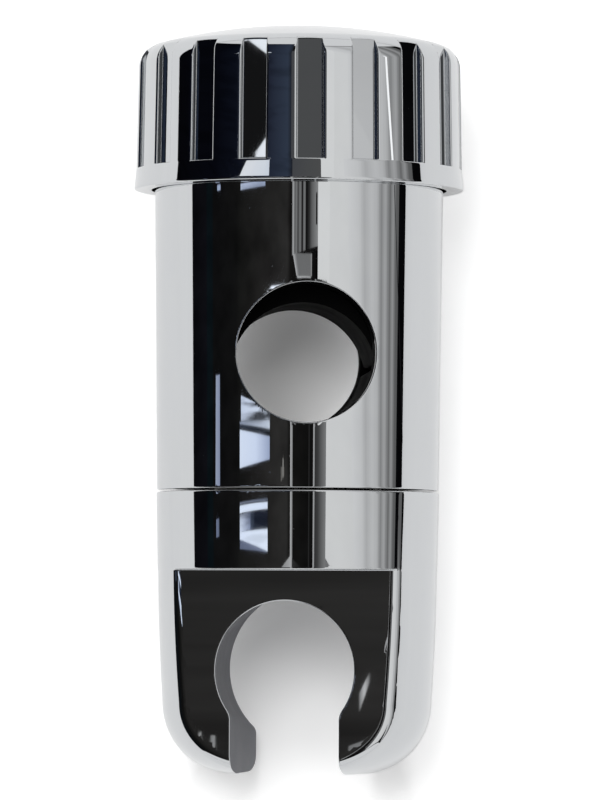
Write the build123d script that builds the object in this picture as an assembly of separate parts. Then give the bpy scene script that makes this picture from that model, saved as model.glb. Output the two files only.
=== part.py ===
from build123d import *
import os
from math import asin, cos, radians, sin, sqrt, tan

# Shower rail slider: a round chromed body that slides on a wall rail, a fluted knob on its
# top end that screws a clamp shoe down onto the rail, and a handset holder that swivels on
# its bottom end.
#
# Units are millimetres. The origin is the middle of the rail bore, on the long axis.
# +Z runs along the rail, +Y along the slider's long axis towards the knob.
# The knob is screwed fully in, and the holder is swivelled a little to one side.

# Rail bore
rail_bore_radius = 11.15        # passes a 22 mm rail
carrier_bore_step = 0.07        # the inner moulding stands this much inside the chromed rim
bore_relief = 0.25              # the moulding's bore is wider by this between its two cheeks

# Chromed body shell
body_bottom_y = -21.55
bore_surround = 11.71           # from the bore's edge to the body's side, at the body's foot
body_draft = 0.66               # degrees, wider towards the knob
body_wall = 2.30
body_floor = 2.00
body_edge_radius = 0.25

# Fit clearances
bench_clearance = 0.10          # between pieces that are pushed together
running_clearance = 0.08        # between a shaft and its hole
slide_clearance = 0.25          # between the shoe and its guide
face_clearance = 0.05           # between flat faces that rub
cut_past = 1.0                  # cuts run past the faces they open by this
pilot_spare = 1.0               # pilot holes are deeper than their screws by this

# Clamp screw and nut, M8
screw_radius = 4.00
screw_pitch = 1.25
release_turns = 3.0
screw_length = 25.0
hex_across_flats = 13.0
hex_chamfer_share = 0.96        # of the flats' circle that stays flat on the end
screw_head_height = 5.3
nut_height = 6.5
neck_radius = 2.90
neck_length = 1.6
tip_length = 2.2

# Clamp shoe
saddle_room = 0.65              # the saddle's arc is wider than the bore by this
saddle_drop = 3.40              # saddle centre below the bore centre, screwed fully in
shoe_leg = 2.45                 # from the bore's edge to the shoe's side
chamber_skin = 1.29             # left of the carrier outside the chamber's corners
shoe_leg_y = -1.30
shoe_floor = 2.60               # between the saddle and the screw's seat
shoe_crown = 5.30               # above the washer, round the screw tip
shoe_corner = 3.0
leg_tip_radius = 0.9
washer_thickness = 0.8
clip_thickness = 1.2
clip_width = 9.0

# Knob
knob_rim_y = 27.20
knob_rim_flare = 0.30           # the rim stands out from the lands by this
knob_rim_edge = 0.30
knob_band_height = 3.40
knob_skirt_wall = 2.53
knob_draft = 1.05               # degrees, narrower towards the top
knob_shoulder_y = 47.03
knob_shoulder_radius = 3.84
knob_dome_slope = 15.0          # degrees, where the shoulder meets the dome
knob_wall = 2.50
knob_rim_clearance = 0.55
flute_count = 18
flute_depth = 1.20
flute_floor_width = 3.95
flute_edge_radius = 0.60
flute_edge_swing = 80.0         # degrees that the rounded edge turns through
flute_wall_slope = 6.0          # degrees, side wall of a flute off square
key_count = 6
key_width = 1.8
key_height = 0.9
snap_bead = 0.40
hub_radius = 10.0
hub_floor = 3.0
core_ring_wall = 2.2
spoke_thickness = 2.2
boss_radius = 7.4
boss_bore = 5.2

# Nut housing
housing_flange = 2.20
housing_web_radius = 10.2
fixing_radius = 1.50
fixing_head_radius = 2.80
fixing_head_height = 1.90
fixing_boss_radius = 3.90
fixing_bite = 7.0
fixing_count = 4

# Inner moulding under the bore
carrier_floor = 2.00
well_radius = 8.00
core_pocket_inner = 11.0
core_pocket_depth = 6.0
core_rib = 2.0
locating_rib_width = 2.0
locating_rib_height = 0.8

# Holder
holder_gap = 0.30               # the fine line between body and holder
holder_overhang = 0.03          # the holder's top stands out from the body by this
holder_ledge_y = -34.45
holder_ledge_taper = 0.26       # narrower than the top by this at the ledge
holder_waist_y = -47.70
holder_waist_taper = 0.63
holder_corner_y = -56.00
holder_corner_taper = 1.09
holder_corner_radius = 11.40
holder_front_z = 13.80
holder_back_z = -14.00
holder_flat_edge_radius = 2.40
holder_wall = 2.40
rest_swivel = -12.0             # degrees about the long axis, as it was last left

# Handset socket, a tapered seat open at the hose slot
socket_y = -50.60
socket_front_radius = 11.18
socket_back_radius = 13.20
slot_half_width = 8.75
socket_wall = 2.20

# Swivel pivot
spigot_radius = 5.40
spigot_end_gap = 0.20
plate_thickness = 3.20
plate_boss_radius = 6.20
plate_boss_spare = 2.05         # the boss reaches past the screw's tip by this
insert_radius = 3.50
insert_length = 8.00
pivot_screw_radius = 2.50
pivot_screw_length = 12.0
pivot_head_radius = 4.60
pivot_head_height = 3.00
hex_key_across_flats = 3.0
hex_key_depth = 1.8
pivot_washer_radius = 7.40
pivot_washer_thickness = 0.80
spring_washer_radius = 6.80
spring_washer_hole = 2.80
spring_washer_thickness = 0.50
spring_washer_height = 0.95
friction_ring_inner = 8.50
friction_ring_inset = 9.36      # inside the body's side by this
friction_ring_thickness = 1.15
plate_screw_count = 4
plate_screw_inset = 5.89        # inside the holder's top by this
plate_screw_radius = 1.45
plate_screw_head_radius = 2.70
plate_screw_length = 9.0
plate_screw_boss = 3.20

# Widths that follow from the sizes above
saddle_radius = rail_bore_radius + saddle_room
carrier_bore_radius = rail_bore_radius - carrier_bore_step
body_bottom_radius = rail_bore_radius + bore_surround
body_inner_radius = body_bottom_radius - body_wall
carrier_radius = body_inner_radius - bench_clearance
shoe_half_width = rail_bore_radius + shoe_leg
chamber_half_width = shoe_half_width + slide_clearance
chamber_half_depth = sqrt((carrier_radius - chamber_skin) ** 2 - chamber_half_width**2)
shoe_half_depth = chamber_half_depth - slide_clearance
fixing_circle = (chamber_half_width + body_inner_radius) / 2
friction_ring_outer = body_bottom_radius - friction_ring_inset
spigot_hole_radius = spigot_radius + running_clearance
holder_top_radius = body_bottom_radius + holder_overhang
holder_ledge_radius = holder_top_radius - holder_ledge_taper
holder_waist_radius = holder_top_radius - holder_waist_taper
holder_end_radius = holder_top_radius - holder_corner_taper - holder_corner_radius
plate_screw_circle = holder_top_radius - plate_screw_inset

# Heights that follow from the sizes above
release_travel = screw_pitch * release_turns
saddle_top_y = saddle_radius - saddle_drop
washer_seat_y = saddle_top_y + shoe_floor
screw_tip_y = washer_seat_y + washer_thickness + face_clearance
neck_start_y = screw_tip_y + tip_length
shoe_top_y = washer_seat_y + washer_thickness + shoe_crown
chamber_top_y = shoe_top_y + release_travel + slide_clearance
head_seat_y = screw_tip_y + screw_length
head_top_y = head_seat_y + screw_head_height
hub_bottom_y = head_seat_y - hub_floor
housing_top_y = hub_bottom_y - bench_clearance
body_top_y = housing_top_y - housing_flange
body_slope = tan(radians(body_draft))
body_top_radius = body_bottom_radius + (body_top_y - body_bottom_y) * body_slope
body_radius_at_rim = body_bottom_radius + (knob_rim_y - body_bottom_y) * body_slope
knob_inner_rim = body_radius_at_rim + knob_rim_clearance
knob_land_radius = knob_inner_rim + knob_skirt_wall
knob_rim_radius = knob_land_radius + knob_rim_flare
carrier_bottom_y = body_bottom_y + body_floor
well_floor_y = carrier_bottom_y + carrier_floor
spring_seat_y = well_floor_y + pivot_washer_thickness
pivot_head_y = spring_seat_y + spring_washer_height
holder_top_y = body_bottom_y - holder_gap
holder_end_y = holder_corner_y - holder_corner_radius
plate_bottom_y = holder_top_y - plate_thickness
plate_boss_bottom_y = pivot_head_y - pivot_screw_length - plate_boss_spare


def turned(outline):
    """Revolve a closed outline, given as radius and height, about the long axis."""
    return revolve(make_face(outline), Axis.Y)


def ring(outer, inner, low_y, high_y):
    """A plain tube about the long axis."""
    corners = [(inner, low_y), (outer, low_y), (outer, high_y), (inner, high_y)]
    return turned(Polyline(*corners, close=True))


def rod(radius, low_y, high_y, x=0.0, z=0.0):
    """A round bar that stands along the long axis."""
    bar = Rot(90, 0, 0) * Cylinder(radius, high_y - low_y)
    return Pos(x, (low_y + high_y) / 2, z) * bar


def block(x, y, z):
    """A box from its low and high limits on each axis."""
    centre = ((x[0] + x[1]) / 2, (y[0] + y[1]) / 2, (z[0] + z[1]) / 2)
    return Pos(*centre) * Box(x[1] - x[0], y[1] - y[0], z[1] - z[0])


def hexagon(across_flats, low_y, high_y):
    """A six-sided bar that stands along the long axis."""
    outline = RegularPolygon(across_flats / 2, 6, major_radius=False)
    return Pos(0, low_y, 0) * Rot(-90, 0, 0) * extrude(outline, high_y - low_y)


def around(shape, count, first=0.0):
    """Copies of a shape, evenly spaced about the long axis."""
    return [Rot(0, first + 360.0 * i / count, 0) * shape for i in range(count)]


def gathered(pieces):
    """Separate solids kept together as one group."""
    group = pieces[0]
    for piece in pieces[1:]:
        group += piece
    return group


def chamfered_hexagon(across_flats, low_y, high_y, both_ends):
    """A hexagon whose corners are turned off at 30 degrees, as on a nut or a bolt head."""
    flat_radius = across_flats / 2 * hex_chamfer_share
    outside = across_flats / 2 / cos(radians(30)) + face_clearance
    drop = (outside - flat_radius) * tan(radians(30))
    foot = [(flat_radius, low_y), (outside, low_y + drop)] if both_ends else [(outside, low_y)]
    head = [(outside, high_y - drop), (flat_radius, high_y)]
    outline = Polyline((0, low_y), *foot, *head, (0, high_y), close=True)
    return hexagon(across_flats, low_y, high_y) & turned(outline)


def body_radius_at(y):
    """Outer radius of the drafted body shell at a height."""
    return body_bottom_radius + (y - body_bottom_y) * body_slope


def make_body_shell():
    """Chromed tube with a floor, the rail bore across it and two ribs that locate the carrier."""
    edge = body_edge_radius
    low = body_bottom_y
    high = body_top_y
    outline = Polyline(
        (spigot_hole_radius, low),
        (body_bottom_radius - edge, low),
        (body_radius_at(low + edge), low + edge),
        (body_top_radius, high),
        (body_inner_radius, high),
        (body_inner_radius, low + body_floor),
        (spigot_hole_radius, low + body_floor),
        close=True,
    )
    shell = turned(outline)
    rib = block(
        (body_inner_radius - locating_rib_height, body_inner_radius + body_wall / 2),
        (low + body_floor / 2, chamber_top_y),
        (-locating_rib_width / 2, locating_rib_width / 2),
    )
    for copy in around(rib, 2):
        shell += copy
    return shell - Cylinder(rail_bore_radius, 4 * body_top_radius)


def make_rail_carrier():
    """Black inner moulding: cross bore, guide for the shoe, and the well over the pivot."""
    body = ring(carrier_radius, spigot_hole_radius, carrier_bottom_y, chamber_top_y)
    body += ring(spigot_hole_radius + cut_past, 0, well_floor_y, chamber_top_y)
    body -= Cylinder(carrier_bore_radius, 4 * carrier_radius)
    body -= Cylinder(carrier_bore_radius + bore_relief, 2 * chamber_half_depth)
    chamber_low = shoe_leg_y - 4 * slide_clearance
    body -= block(
        (-chamber_half_width, chamber_half_width),
        (chamber_low, chamber_top_y),
        (-chamber_half_depth, chamber_half_depth),
    )
    body -= rod(well_radius, well_floor_y, 0)

    # Moulding pocket round the well, open at the bottom, with ribs across it
    pocket = ring(
        carrier_radius - body_wall,
        core_pocket_inner,
        carrier_bottom_y,
        carrier_bottom_y + core_pocket_depth,
    )
    for web in around(
        block(
            (0, carrier_radius),
            (carrier_bottom_y, carrier_bottom_y + core_pocket_depth),
            (-core_rib / 2, core_rib / 2),
        ),
        fixing_count,
        180 / fixing_count,
    ):
        pocket -= web
    body -= pocket

    groove = block(
        (carrier_radius - locating_rib_height, carrier_radius + cut_past),
        (carrier_bottom_y, chamber_top_y),
        (-locating_rib_width / 2 - bench_clearance, locating_rib_width / 2 + bench_clearance),
    )
    for copy in around(groove, 2):
        body -= copy
    pilot_end = chamber_top_y - fixing_bite - pilot_spare
    pilot = rod(fixing_radius, pilot_end, chamber_top_y, x=fixing_circle)
    for copy in around(pilot, fixing_count):
        body -= copy
    return body


def make_nut_housing():
    """Cap of the carrier: flange over the body shell, nut pocket below, cored from above."""
    plug_radius = carrier_radius
    flange_radius = body_top_radius - 2 * body_edge_radius
    housing = turned(
        Polyline(
            (screw_radius + slide_clearance, chamber_top_y),
            (plug_radius, chamber_top_y),
            (plug_radius, body_top_y),
            (flange_radius, body_top_y),
            (flange_radius, housing_top_y),
            (screw_radius + slide_clearance, housing_top_y),
            close=True,
        )
    )
    pocket_low = chamber_top_y + nut_height / 2
    coring = ring(plug_radius - body_wall, housing_web_radius, pocket_low, housing_top_y)
    for boss in around(rod(fixing_boss_radius, pocket_low, housing_top_y, x=fixing_circle), fixing_count):
        coring -= boss
    for web in around(
        block((0, plug_radius), (pocket_low, housing_top_y), (-core_rib / 2, core_rib / 2)),
        fixing_count,
        180 / fixing_count,
    ):
        coring -= web
    housing -= coring
    housing -= hexagon(hex_across_flats + 2 * bench_clearance, chamber_top_y, nut_top_y())
    hole = rod(fixing_radius + bench_clearance, chamber_top_y, housing_top_y, x=fixing_circle)
    hole += rod(
        fixing_head_radius + bench_clearance,
        housing_top_y - fixing_head_height,
        housing_top_y,
        x=fixing_circle,
    )
    for copy in around(hole, fixing_count):
        housing -= copy
    return housing


def nut_top_y():
    """Height of the web that the nut is pulled up against."""
    return chamber_top_y + nut_height + 2 * bench_clearance


def make_clamp_nut():
    """Brass hexagon nut, held from turning by the pocket."""
    low = chamber_top_y + bench_clearance
    nut = chamfered_hexagon(hex_across_flats, low, low + nut_height, both_ends=True)
    return nut - rod(screw_radius + face_clearance, low, low + nut_height)


def make_housing_screws():
    """Four long screws from the housing down into the carrier."""
    seat = housing_top_y - fixing_head_height
    tip = chamber_top_y - fixing_bite
    screw = rod(fixing_radius - bench_clearance / 2, tip, seat, x=fixing_circle)
    head = rod(fixing_head_radius, seat, housing_top_y, x=fixing_circle)
    slot = block(
        (fixing_circle - fixing_radius, fixing_circle + fixing_radius),
        (housing_top_y - fixing_head_height / 2, housing_top_y),
        (-fixing_radius / 4, fixing_radius / 4),
    )
    cross = head - slot - Pos(fixing_circle, 0, 0) * Rot(0, 90, 0) * Pos(-fixing_circle, 0, 0) * slot
    return gathered(around(screw + cross, fixing_count))


def make_clamp_shoe():
    """Saddle that presses on the rail, with the pocket and clip slot for the screw tip."""
    side = shoe_half_width
    crown = [
        (-side, shoe_leg_y),
        (side, shoe_leg_y),
        (side, shoe_top_y - shoe_corner),
        (side - shoe_corner, shoe_top_y),
        (-side + shoe_corner, shoe_top_y),
        (-side, shoe_top_y - shoe_corner),
    ]
    outline = make_face(Polyline(*crown, close=True))
    outline -= Pos(0, -saddle_drop) * Circle(saddle_radius)
    tips = [v for v in outline.vertices() if abs(v.Y - shoe_leg_y) < face_clearance]
    outline = fillet(tips, leg_tip_radius)
    shoe = Pos(0, 0, -shoe_half_depth) * extrude(outline, 2 * shoe_half_depth)
    shoe -= rod(screw_radius + 2 * running_clearance, washer_seat_y, shoe_top_y)
    clip_low = neck_start_y + face_clearance
    shoe -= block(
        (-clip_width / 2 - bench_clearance, clip_width / 2 + bench_clearance),
        (clip_low, clip_low + clip_thickness + 2 * face_clearance),
        (-neck_radius - clip_thickness - bench_clearance, shoe_half_depth),
    )
    return shoe


def make_thrust_washer():
    """Hard disc that the screw tip bears and turns on."""
    return rod(screw_radius, washer_seat_y, washer_seat_y + washer_thickness)


def make_tip_clip():
    """Flat horseshoe that slides in from the front and holds the screw's neck."""
    low = neck_start_y + 2 * face_clearance
    clip = block(
        (-clip_width / 2, clip_width / 2),
        (low, low + clip_thickness),
        (-neck_radius - clip_thickness, shoe_half_depth - bench_clearance),
    )
    gap = neck_radius + face_clearance
    clip -= rod(gap, low, low + clip_thickness)
    return clip - block((-gap, gap), (low, low + clip_thickness), (-neck_radius - clip_thickness, 0))


def make_clamp_screw():
    """Hexagon-headed screw with a turned neck behind its flat tip."""
    screw = rod(screw_radius, screw_tip_y, head_seat_y)
    screw -= ring(screw_radius + cut_past, neck_radius, neck_start_y, neck_start_y + neck_length)
    return screw + chamfered_hexagon(hex_across_flats, head_seat_y, head_top_y, both_ends=False)


def knob_radius_at(y):
    """Outer radius of the knob's lands at a height."""
    return knob_land_radius - (y - knob_rim_y - knob_band_height) * tan(radians(knob_draft))


def knob_inner_radius_at(y):
    """Inner radius of the knob's skirt at a height."""
    return knob_inner_rim - (y - knob_rim_y) * tan(radians(knob_draft)) / 2


def knob_top_outline(inset):
    """Shoulder arc and shallow dome of the knob, moved inwards by a wall."""
    centre_r = knob_radius_at(knob_shoulder_y) - knob_shoulder_radius
    radius = knob_shoulder_radius - inset
    start = radians(knob_draft)
    end = radians(90 - knob_dome_slope)
    points = [
        (centre_r + radius * cos(a), knob_shoulder_y + radius * sin(a))
        for a in (start, (start + end) / 2, end)
    ]
    dome_radius = (centre_r + knob_shoulder_radius * cos(end)) / cos(end) - inset
    dome_centre_y = points[2][1] - dome_radius * sin(end)
    half = (radians(90) + end) / 2
    crown = (dome_radius * cos(half), dome_centre_y + dome_radius * sin(half))
    apex = (0, dome_centre_y + dome_radius)
    return points, crown, apex


def make_knob_shell():
    """Chromed cap with a domed top and flutes that run out through its rounded shoulder."""
    shoulder, crown, apex = knob_top_outline(0.0)
    band_top = (knob_land_radius, knob_rim_y + knob_band_height)
    edge = knob_rim_edge
    outline = (
        Line((0, knob_rim_y), (knob_rim_radius - edge, knob_rim_y))
        + Line((knob_rim_radius - edge, knob_rim_y), (knob_rim_radius, knob_rim_y + edge))
        + Line((knob_rim_radius, knob_rim_y + edge), band_top)
        + Line(band_top, shoulder[0])
        + ThreePointArc(*shoulder)
        + ThreePointArc(shoulder[2], crown, apex)
        + Line(apex, (0, knob_rim_y))
    )
    cap = turned(outline)
    for flute in around(make_flute(), flute_count):
        cap -= flute

    # Hollow with its own shoulder and dome
    inner, inner_crown, inner_apex = knob_top_outline(knob_wall)
    mouth_y = knob_rim_y - cut_past
    rim = (knob_inner_radius_at(knob_rim_y), mouth_y)
    hollow = (
        Line((0, mouth_y), rim)
        + Line(rim, inner[0])
        + ThreePointArc(*inner)
        + ThreePointArc(inner[2], inner_crown, inner_apex)
        + Line(inner_apex, (0, mouth_y))
    )
    cap -= turned(hollow)

    # Keys that turn the core, the bead it snaps over, and the boss above the screw head
    key = block(
        (knob_inner_radius_at(knob_shoulder_y) - key_height, knob_land_radius - knob_wall / 2),
        (hub_bottom_y, knob_shoulder_y),
        (-key_width / 2, key_width / 2),
    )
    for copy in around(key, key_count):
        cap += copy
    bead_r = knob_inner_radius_at(hub_bottom_y)
    bead = Polyline(
        (bead_r + snap_bead, hub_bottom_y),
        (bead_r - snap_bead, hub_bottom_y),
        (bead_r + snap_bead, hub_bottom_y - 3 * snap_bead),
        close=True,
    )
    cap += turned(bead)
    return cap + ring(boss_radius, boss_bore, head_top_y + face_clearance, inner_apex[1] + knob_wall / 4)


def make_flute():
    """Cutter for one flute: flat floor, short side walls and edges rounded onto the lands."""
    tilt = radians(knob_draft)
    start_y = knob_rim_y + knob_band_height
    floor_r = knob_radius_at(start_y) - flute_depth
    half = flute_floor_width / 2
    rise = flute_depth - flute_edge_radius
    swing = radians(flute_edge_swing)
    edge_x = half + rise * tan(radians(flute_wall_slope))
    edge = [
        (edge_x + flute_edge_radius * (1 - cos(a)), rise + flute_edge_radius * sin(a))
        for a in (0.0, swing / 2, swing)
    ]
    top_x = edge[2][0] + cut_past
    top_y = edge[2][1] + cut_past / tan(swing)

    def side(sign):
        return (
            Line((0, 0), (sign * half, 0))
            + Line((sign * half, 0), (sign * edge[0][0], edge[0][1]))
            + ThreePointArc(*[(sign * x, y) for x, y in edge])
            + Line((sign * edge[2][0], edge[2][1]), (sign * top_x, top_y))
        )

    outline = side(1) + side(-1) + Line((-top_x, top_y), (top_x, top_y))
    plane = Plane(
        origin=(0, start_y, floor_r),
        x_dir=(-1, 0, 0),
        z_dir=(0, cos(tilt), -sin(tilt)),
    )
    apex_y = knob_top_outline(0.0)[2][1]
    return extrude(plane * make_face(outline), apex_y - start_y + cut_past)


def make_knob_core():
    """Black hub with the hexagon pocket, spokes and a ring keyed into the knob."""
    ring_radius = knob_inner_radius_at(head_top_y) - bench_clearance
    low = hub_bottom_y + bench_clearance / 2
    core = rod(hub_radius, low, head_top_y)
    core += ring(ring_radius, ring_radius - core_ring_wall, low, head_top_y)
    spoke = block(
        (0, ring_radius - core_ring_wall / 2),
        (low, head_top_y),
        (-spoke_thickness / 2, spoke_thickness / 2),
    )
    for copy in around(spoke, key_count, 180 / key_count):
        core += copy
    core -= rod(screw_radius + bench_clearance, low, head_seat_y)
    core -= hexagon(hex_across_flats + bench_clearance, head_seat_y, head_top_y)
    notch = block(
        (knob_inner_radius_at(knob_shoulder_y) - key_height - bench_clearance, ring_radius + cut_past),
        (low, head_top_y),
        (-key_width / 2 - bench_clearance, key_width / 2 + bench_clearance),
    )
    for copy in around(notch, key_count):
        core -= copy
    return core


def holder_outline(inset, low_y):
    """Outer form of the holder, moved inwards by a wall and closed on the axis."""
    top = holder_top_radius - inset
    ledge = (holder_ledge_radius - inset, holder_ledge_y)
    waist = (holder_waist_radius - inset, holder_waist_y)
    arc_radius = holder_corner_radius - inset
    corner = (holder_end_radius + arc_radius, holder_corner_y)
    middle = (
        holder_end_radius + arc_radius * cos(radians(45)),
        holder_corner_y - arc_radius * sin(radians(45)),
    )
    end = (holder_end_radius, holder_corner_y - arc_radius)
    outline = (
        Line((0, low_y), (top, low_y))
        + Line((top, low_y), ledge)
        + ThreePointArc(ledge, waist, corner)
        + ThreePointArc(corner, middle, end)
        + Line(end, (0, end[1]))
        + Line((0, end[1]), (0, low_y))
    )
    return turned(outline)


def make_holder_shell():
    """Chromed holder: round top, flats front and back, tapered socket with a hose slot."""
    reach = 2 * holder_top_radius
    shell = holder_outline(0.0, holder_top_y)
    below = (holder_end_y - cut_past, holder_ledge_y)
    shell -= block((-reach, reach), below, (holder_front_z, reach))
    shell -= block((-reach, reach), below, (-reach, holder_back_z))
    rims = [e for e in shell.edges() if on_a_flat(e) and e.bounding_box().min.Y < holder_waist_y]
    shell = fillet(rims, holder_flat_edge_radius)

    # Hollow from the top, passing either side of the socket wall
    pocket_front = holder_front_z - holder_wall
    pocket_back = holder_back_z + holder_wall
    hollow = holder_outline(holder_wall, holder_top_y)
    hollow -= block((-reach, reach), (holder_end_y, holder_ledge_y + holder_wall), (pocket_front, reach))
    hollow -= block((-reach, reach), (holder_end_y, holder_ledge_y + holder_wall), (-reach, pocket_back))
    tube_half = socket_back_radius + socket_wall
    hollow -= make_socket_cutter(socket_wall)
    hollow -= block((-tube_half, tube_half), (holder_end_y, socket_y), (-reach, reach))
    hollow -= block((-reach, reach), (holder_end_y, holder_corner_y - holder_wall), (-reach, reach))
    for post in around(plate_screw_post(), plate_screw_count, 180 / plate_screw_count):
        hollow -= post
    shell -= hollow
    shell -= rod(plate_radius(), plate_bottom_y, holder_top_y)
    for pilot in around(plate_screw_pilot(), plate_screw_count, 180 / plate_screw_count):
        shell -= pilot

    shell -= make_socket_cutter(0.0)
    slot_y = (holder_end_y - cut_past, socket_y)
    shell -= block((-slot_half_width, slot_half_width), slot_y, (-reach, reach))
    return shell


def on_a_flat(edge):
    """Whether an edge of the holder lies in its front or its back flat."""
    middle = edge.center().Z
    return min(abs(middle - holder_front_z), abs(middle - holder_back_z)) < face_clearance


def plate_radius():
    """Radius of the seat that the pivot plate drops into."""
    return holder_top_radius - holder_wall + 2 * bench_clearance


def plate_screw_post():
    """Post inside the holder that takes one plate screw."""
    return rod(plate_screw_boss, holder_ledge_y + holder_wall, plate_bottom_y, x=plate_screw_circle)


def plate_screw_pilot():
    """Pilot hole of one plate screw."""
    low = holder_top_y - plate_screw_length - pilot_spare / 2
    return rod(plate_screw_radius + face_clearance / 2, low, plate_bottom_y, x=plate_screw_circle)


def make_socket_cutter(grow):
    """Cone of the handset seat, running past both flats."""
    slope = (socket_back_radius - socket_front_radius) / (holder_front_z - holder_back_z)
    front = socket_front_radius + grow - cut_past * slope
    back = socket_back_radius + grow + cut_past * slope
    middle_z = (holder_front_z + holder_back_z) / 2
    length = holder_front_z - holder_back_z + 2 * cut_past
    return Pos(0, socket_y, middle_z) * Cone(back, front, length)


def make_pivot_plate():
    """Black plate that closes the holder and carries the spigot."""
    outer = plate_radius() - bench_clearance
    ring_seat = body_bottom_y - face_clearance - friction_ring_thickness - face_clearance
    plate = turned(
        Polyline(
            (0, plate_boss_bottom_y),
            (plate_boss_radius, plate_boss_bottom_y),
            (plate_boss_radius, plate_bottom_y),
            (outer, plate_bottom_y),
            (outer, holder_top_y),
            (friction_ring_outer + bench_clearance, holder_top_y),
            (friction_ring_outer + bench_clearance, ring_seat),
            (friction_ring_inner - bench_clearance, ring_seat),
            (friction_ring_inner - bench_clearance, holder_top_y),
            (spigot_radius, holder_top_y),
            (spigot_radius, well_floor_y - spigot_end_gap),
            (0, well_floor_y - spigot_end_gap),
            close=True,
        )
    )
    plate -= rod(insert_radius + face_clearance, insert_bottom_y(), well_floor_y)
    plate -= rod(pivot_screw_radius + bench_clearance, plate_boss_bottom_y, well_floor_y)
    hole = rod(plate_screw_radius + bench_clearance, plate_bottom_y, holder_top_y, x=plate_screw_circle)
    hole += plate_screw_head(bench_clearance)
    for copy in around(hole, plate_screw_count, 180 / plate_screw_count):
        plate -= copy
    return plate


def insert_bottom_y():
    """Foot of the brass insert, flush with the end of the spigot."""
    return well_floor_y - spigot_end_gap - insert_length


def plate_screw_head(grow):
    """Countersunk head of one plate screw, or the sink for it."""
    depth = plate_screw_head_radius - plate_screw_radius
    return turned_at(
        [
            (0, holder_top_y - depth),
            (plate_screw_radius + grow, holder_top_y - depth),
            (plate_screw_head_radius + grow, holder_top_y),
            (0, holder_top_y),
        ],
        plate_screw_circle,
    )


def turned_at(corners, x):
    """A turned solid whose axis stands at a distance from the long axis."""
    return Pos(x, 0, 0) * turned(Polyline(*corners, close=True))


def make_plate_screws():
    """Four countersunk screws that hold the pivot plate."""
    shank = rod(
        plate_screw_radius,
        holder_top_y - plate_screw_length,
        holder_top_y - plate_screw_radius / 2,
        x=plate_screw_circle,
    )
    slot = block(
        (plate_screw_circle - plate_screw_radius, plate_screw_circle + plate_screw_radius),
        (holder_top_y - plate_screw_radius / 2, holder_top_y),
        (-plate_screw_radius / 4, plate_screw_radius / 4),
    )
    screw = shank + plate_screw_head(0.0) - slot
    screw -= Pos(plate_screw_circle, 0, 0) * Rot(0, 90, 0) * Pos(-plate_screw_circle, 0, 0) * slot
    return gathered(around(screw, plate_screw_count, 180 / plate_screw_count))


def make_pivot_insert():
    """Threaded brass insert in the spigot."""
    top = well_floor_y - spigot_end_gap
    return ring(insert_radius, pivot_screw_radius + face_clearance, insert_bottom_y(), top)


def make_pivot_screw():
    """Cap screw that draws the holder up to the body."""
    screw = rod(pivot_screw_radius, pivot_head_y - pivot_screw_length, pivot_head_y)
    screw += rod(pivot_head_radius, pivot_head_y, pivot_head_y + pivot_head_height)
    top = pivot_head_y + pivot_head_height
    return screw - hexagon(hex_key_across_flats, top - hex_key_depth, top)


def make_pivot_washer():
    """Flat washer on the floor of the well."""
    low = well_floor_y + face_clearance
    return ring(pivot_washer_radius, pivot_screw_radius + bench_clearance, low, spring_seat_y)


def make_spring_washer():
    """Curved spring washer: a flat ring bent to a single arc."""
    rise = spring_washer_height - spring_washer_thickness
    bend = (spring_washer_radius**2 + rise**2) / (2 * rise)
    sweep = asin(spring_washer_radius / bend)
    centre_y = spring_seat_y + rise - bend

    def arc(radius):
        return [(radius * sin(a), centre_y + radius * cos(a)) for a in (-sweep, 0.0, sweep)]

    lower = arc(bend)
    upper = arc(bend + spring_washer_thickness)
    outline = (
        ThreePointArc(*lower)
        + Line(lower[2], upper[2])
        + ThreePointArc(*upper)
        + Line(upper[0], lower[0])
    )
    depth = spring_washer_radius + cut_past
    sheet = Pos(0, 0, -depth) * extrude(make_face(outline), 2 * depth)
    return sheet & ring(
        spring_washer_radius - face_clearance,
        spring_washer_hole,
        spring_seat_y - cut_past,
        pivot_head_y + cut_past,
    )


def make_friction_ring():
    """Acetal ring that the body floor rubs on as the holder swivels."""
    top = body_bottom_y - face_clearance
    return ring(friction_ring_outer, friction_ring_inner, top - friction_ring_thickness, top)


fixed_pieces = {
    "body_shell": make_body_shell,
    "rail_carrier": make_rail_carrier,
    "nut_housing": make_nut_housing,
    "clamp_nut": make_clamp_nut,
    "housing_screws": make_housing_screws,
    "clamp_shoe": make_clamp_shoe,
    "thrust_washer": make_thrust_washer,
    "tip_clip": make_tip_clip,
    "knob_shell": make_knob_shell,
    "knob_core": make_knob_core,
    "clamp_screw": make_clamp_screw,
}
swivelled_pieces = {
    "holder_shell": make_holder_shell,
    "pivot_plate": make_pivot_plate,
    "plate_screws": make_plate_screws,
    "pivot_insert": make_pivot_insert,
    "pivot_screw": make_pivot_screw,
    "pivot_washer": make_pivot_washer,
    "spring_washer": make_spring_washer,
    "friction_ring": make_friction_ring,
}

os.makedirs("parts", exist_ok=True)
for name, make in fixed_pieces.items():
    export_step(make(), f"parts/{name}.step")
for name, make in swivelled_pieces.items():
    export_step(Rot(0, rest_swivel, 0) * make(), f"parts/{name}.step")
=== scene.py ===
"""Shower rail slider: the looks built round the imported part.

The three chromed shells, and the two black mouldings that show in the rail bore, are made here as
fine meshes of the same form, because chrome shows every facet. Each is a smooth distance field: a
mesh is laid round it, and every point is then settled onto the true surface. Sizes are in
millimetres in the row frame, and become metres when a mesh is made.
"""

import logging
import math
from dataclasses import dataclass, field
from enum import Enum
from typing import Any, Callable, Optional

import bpy
import numpy as np
from mathutils import Matrix, Vector


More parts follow.
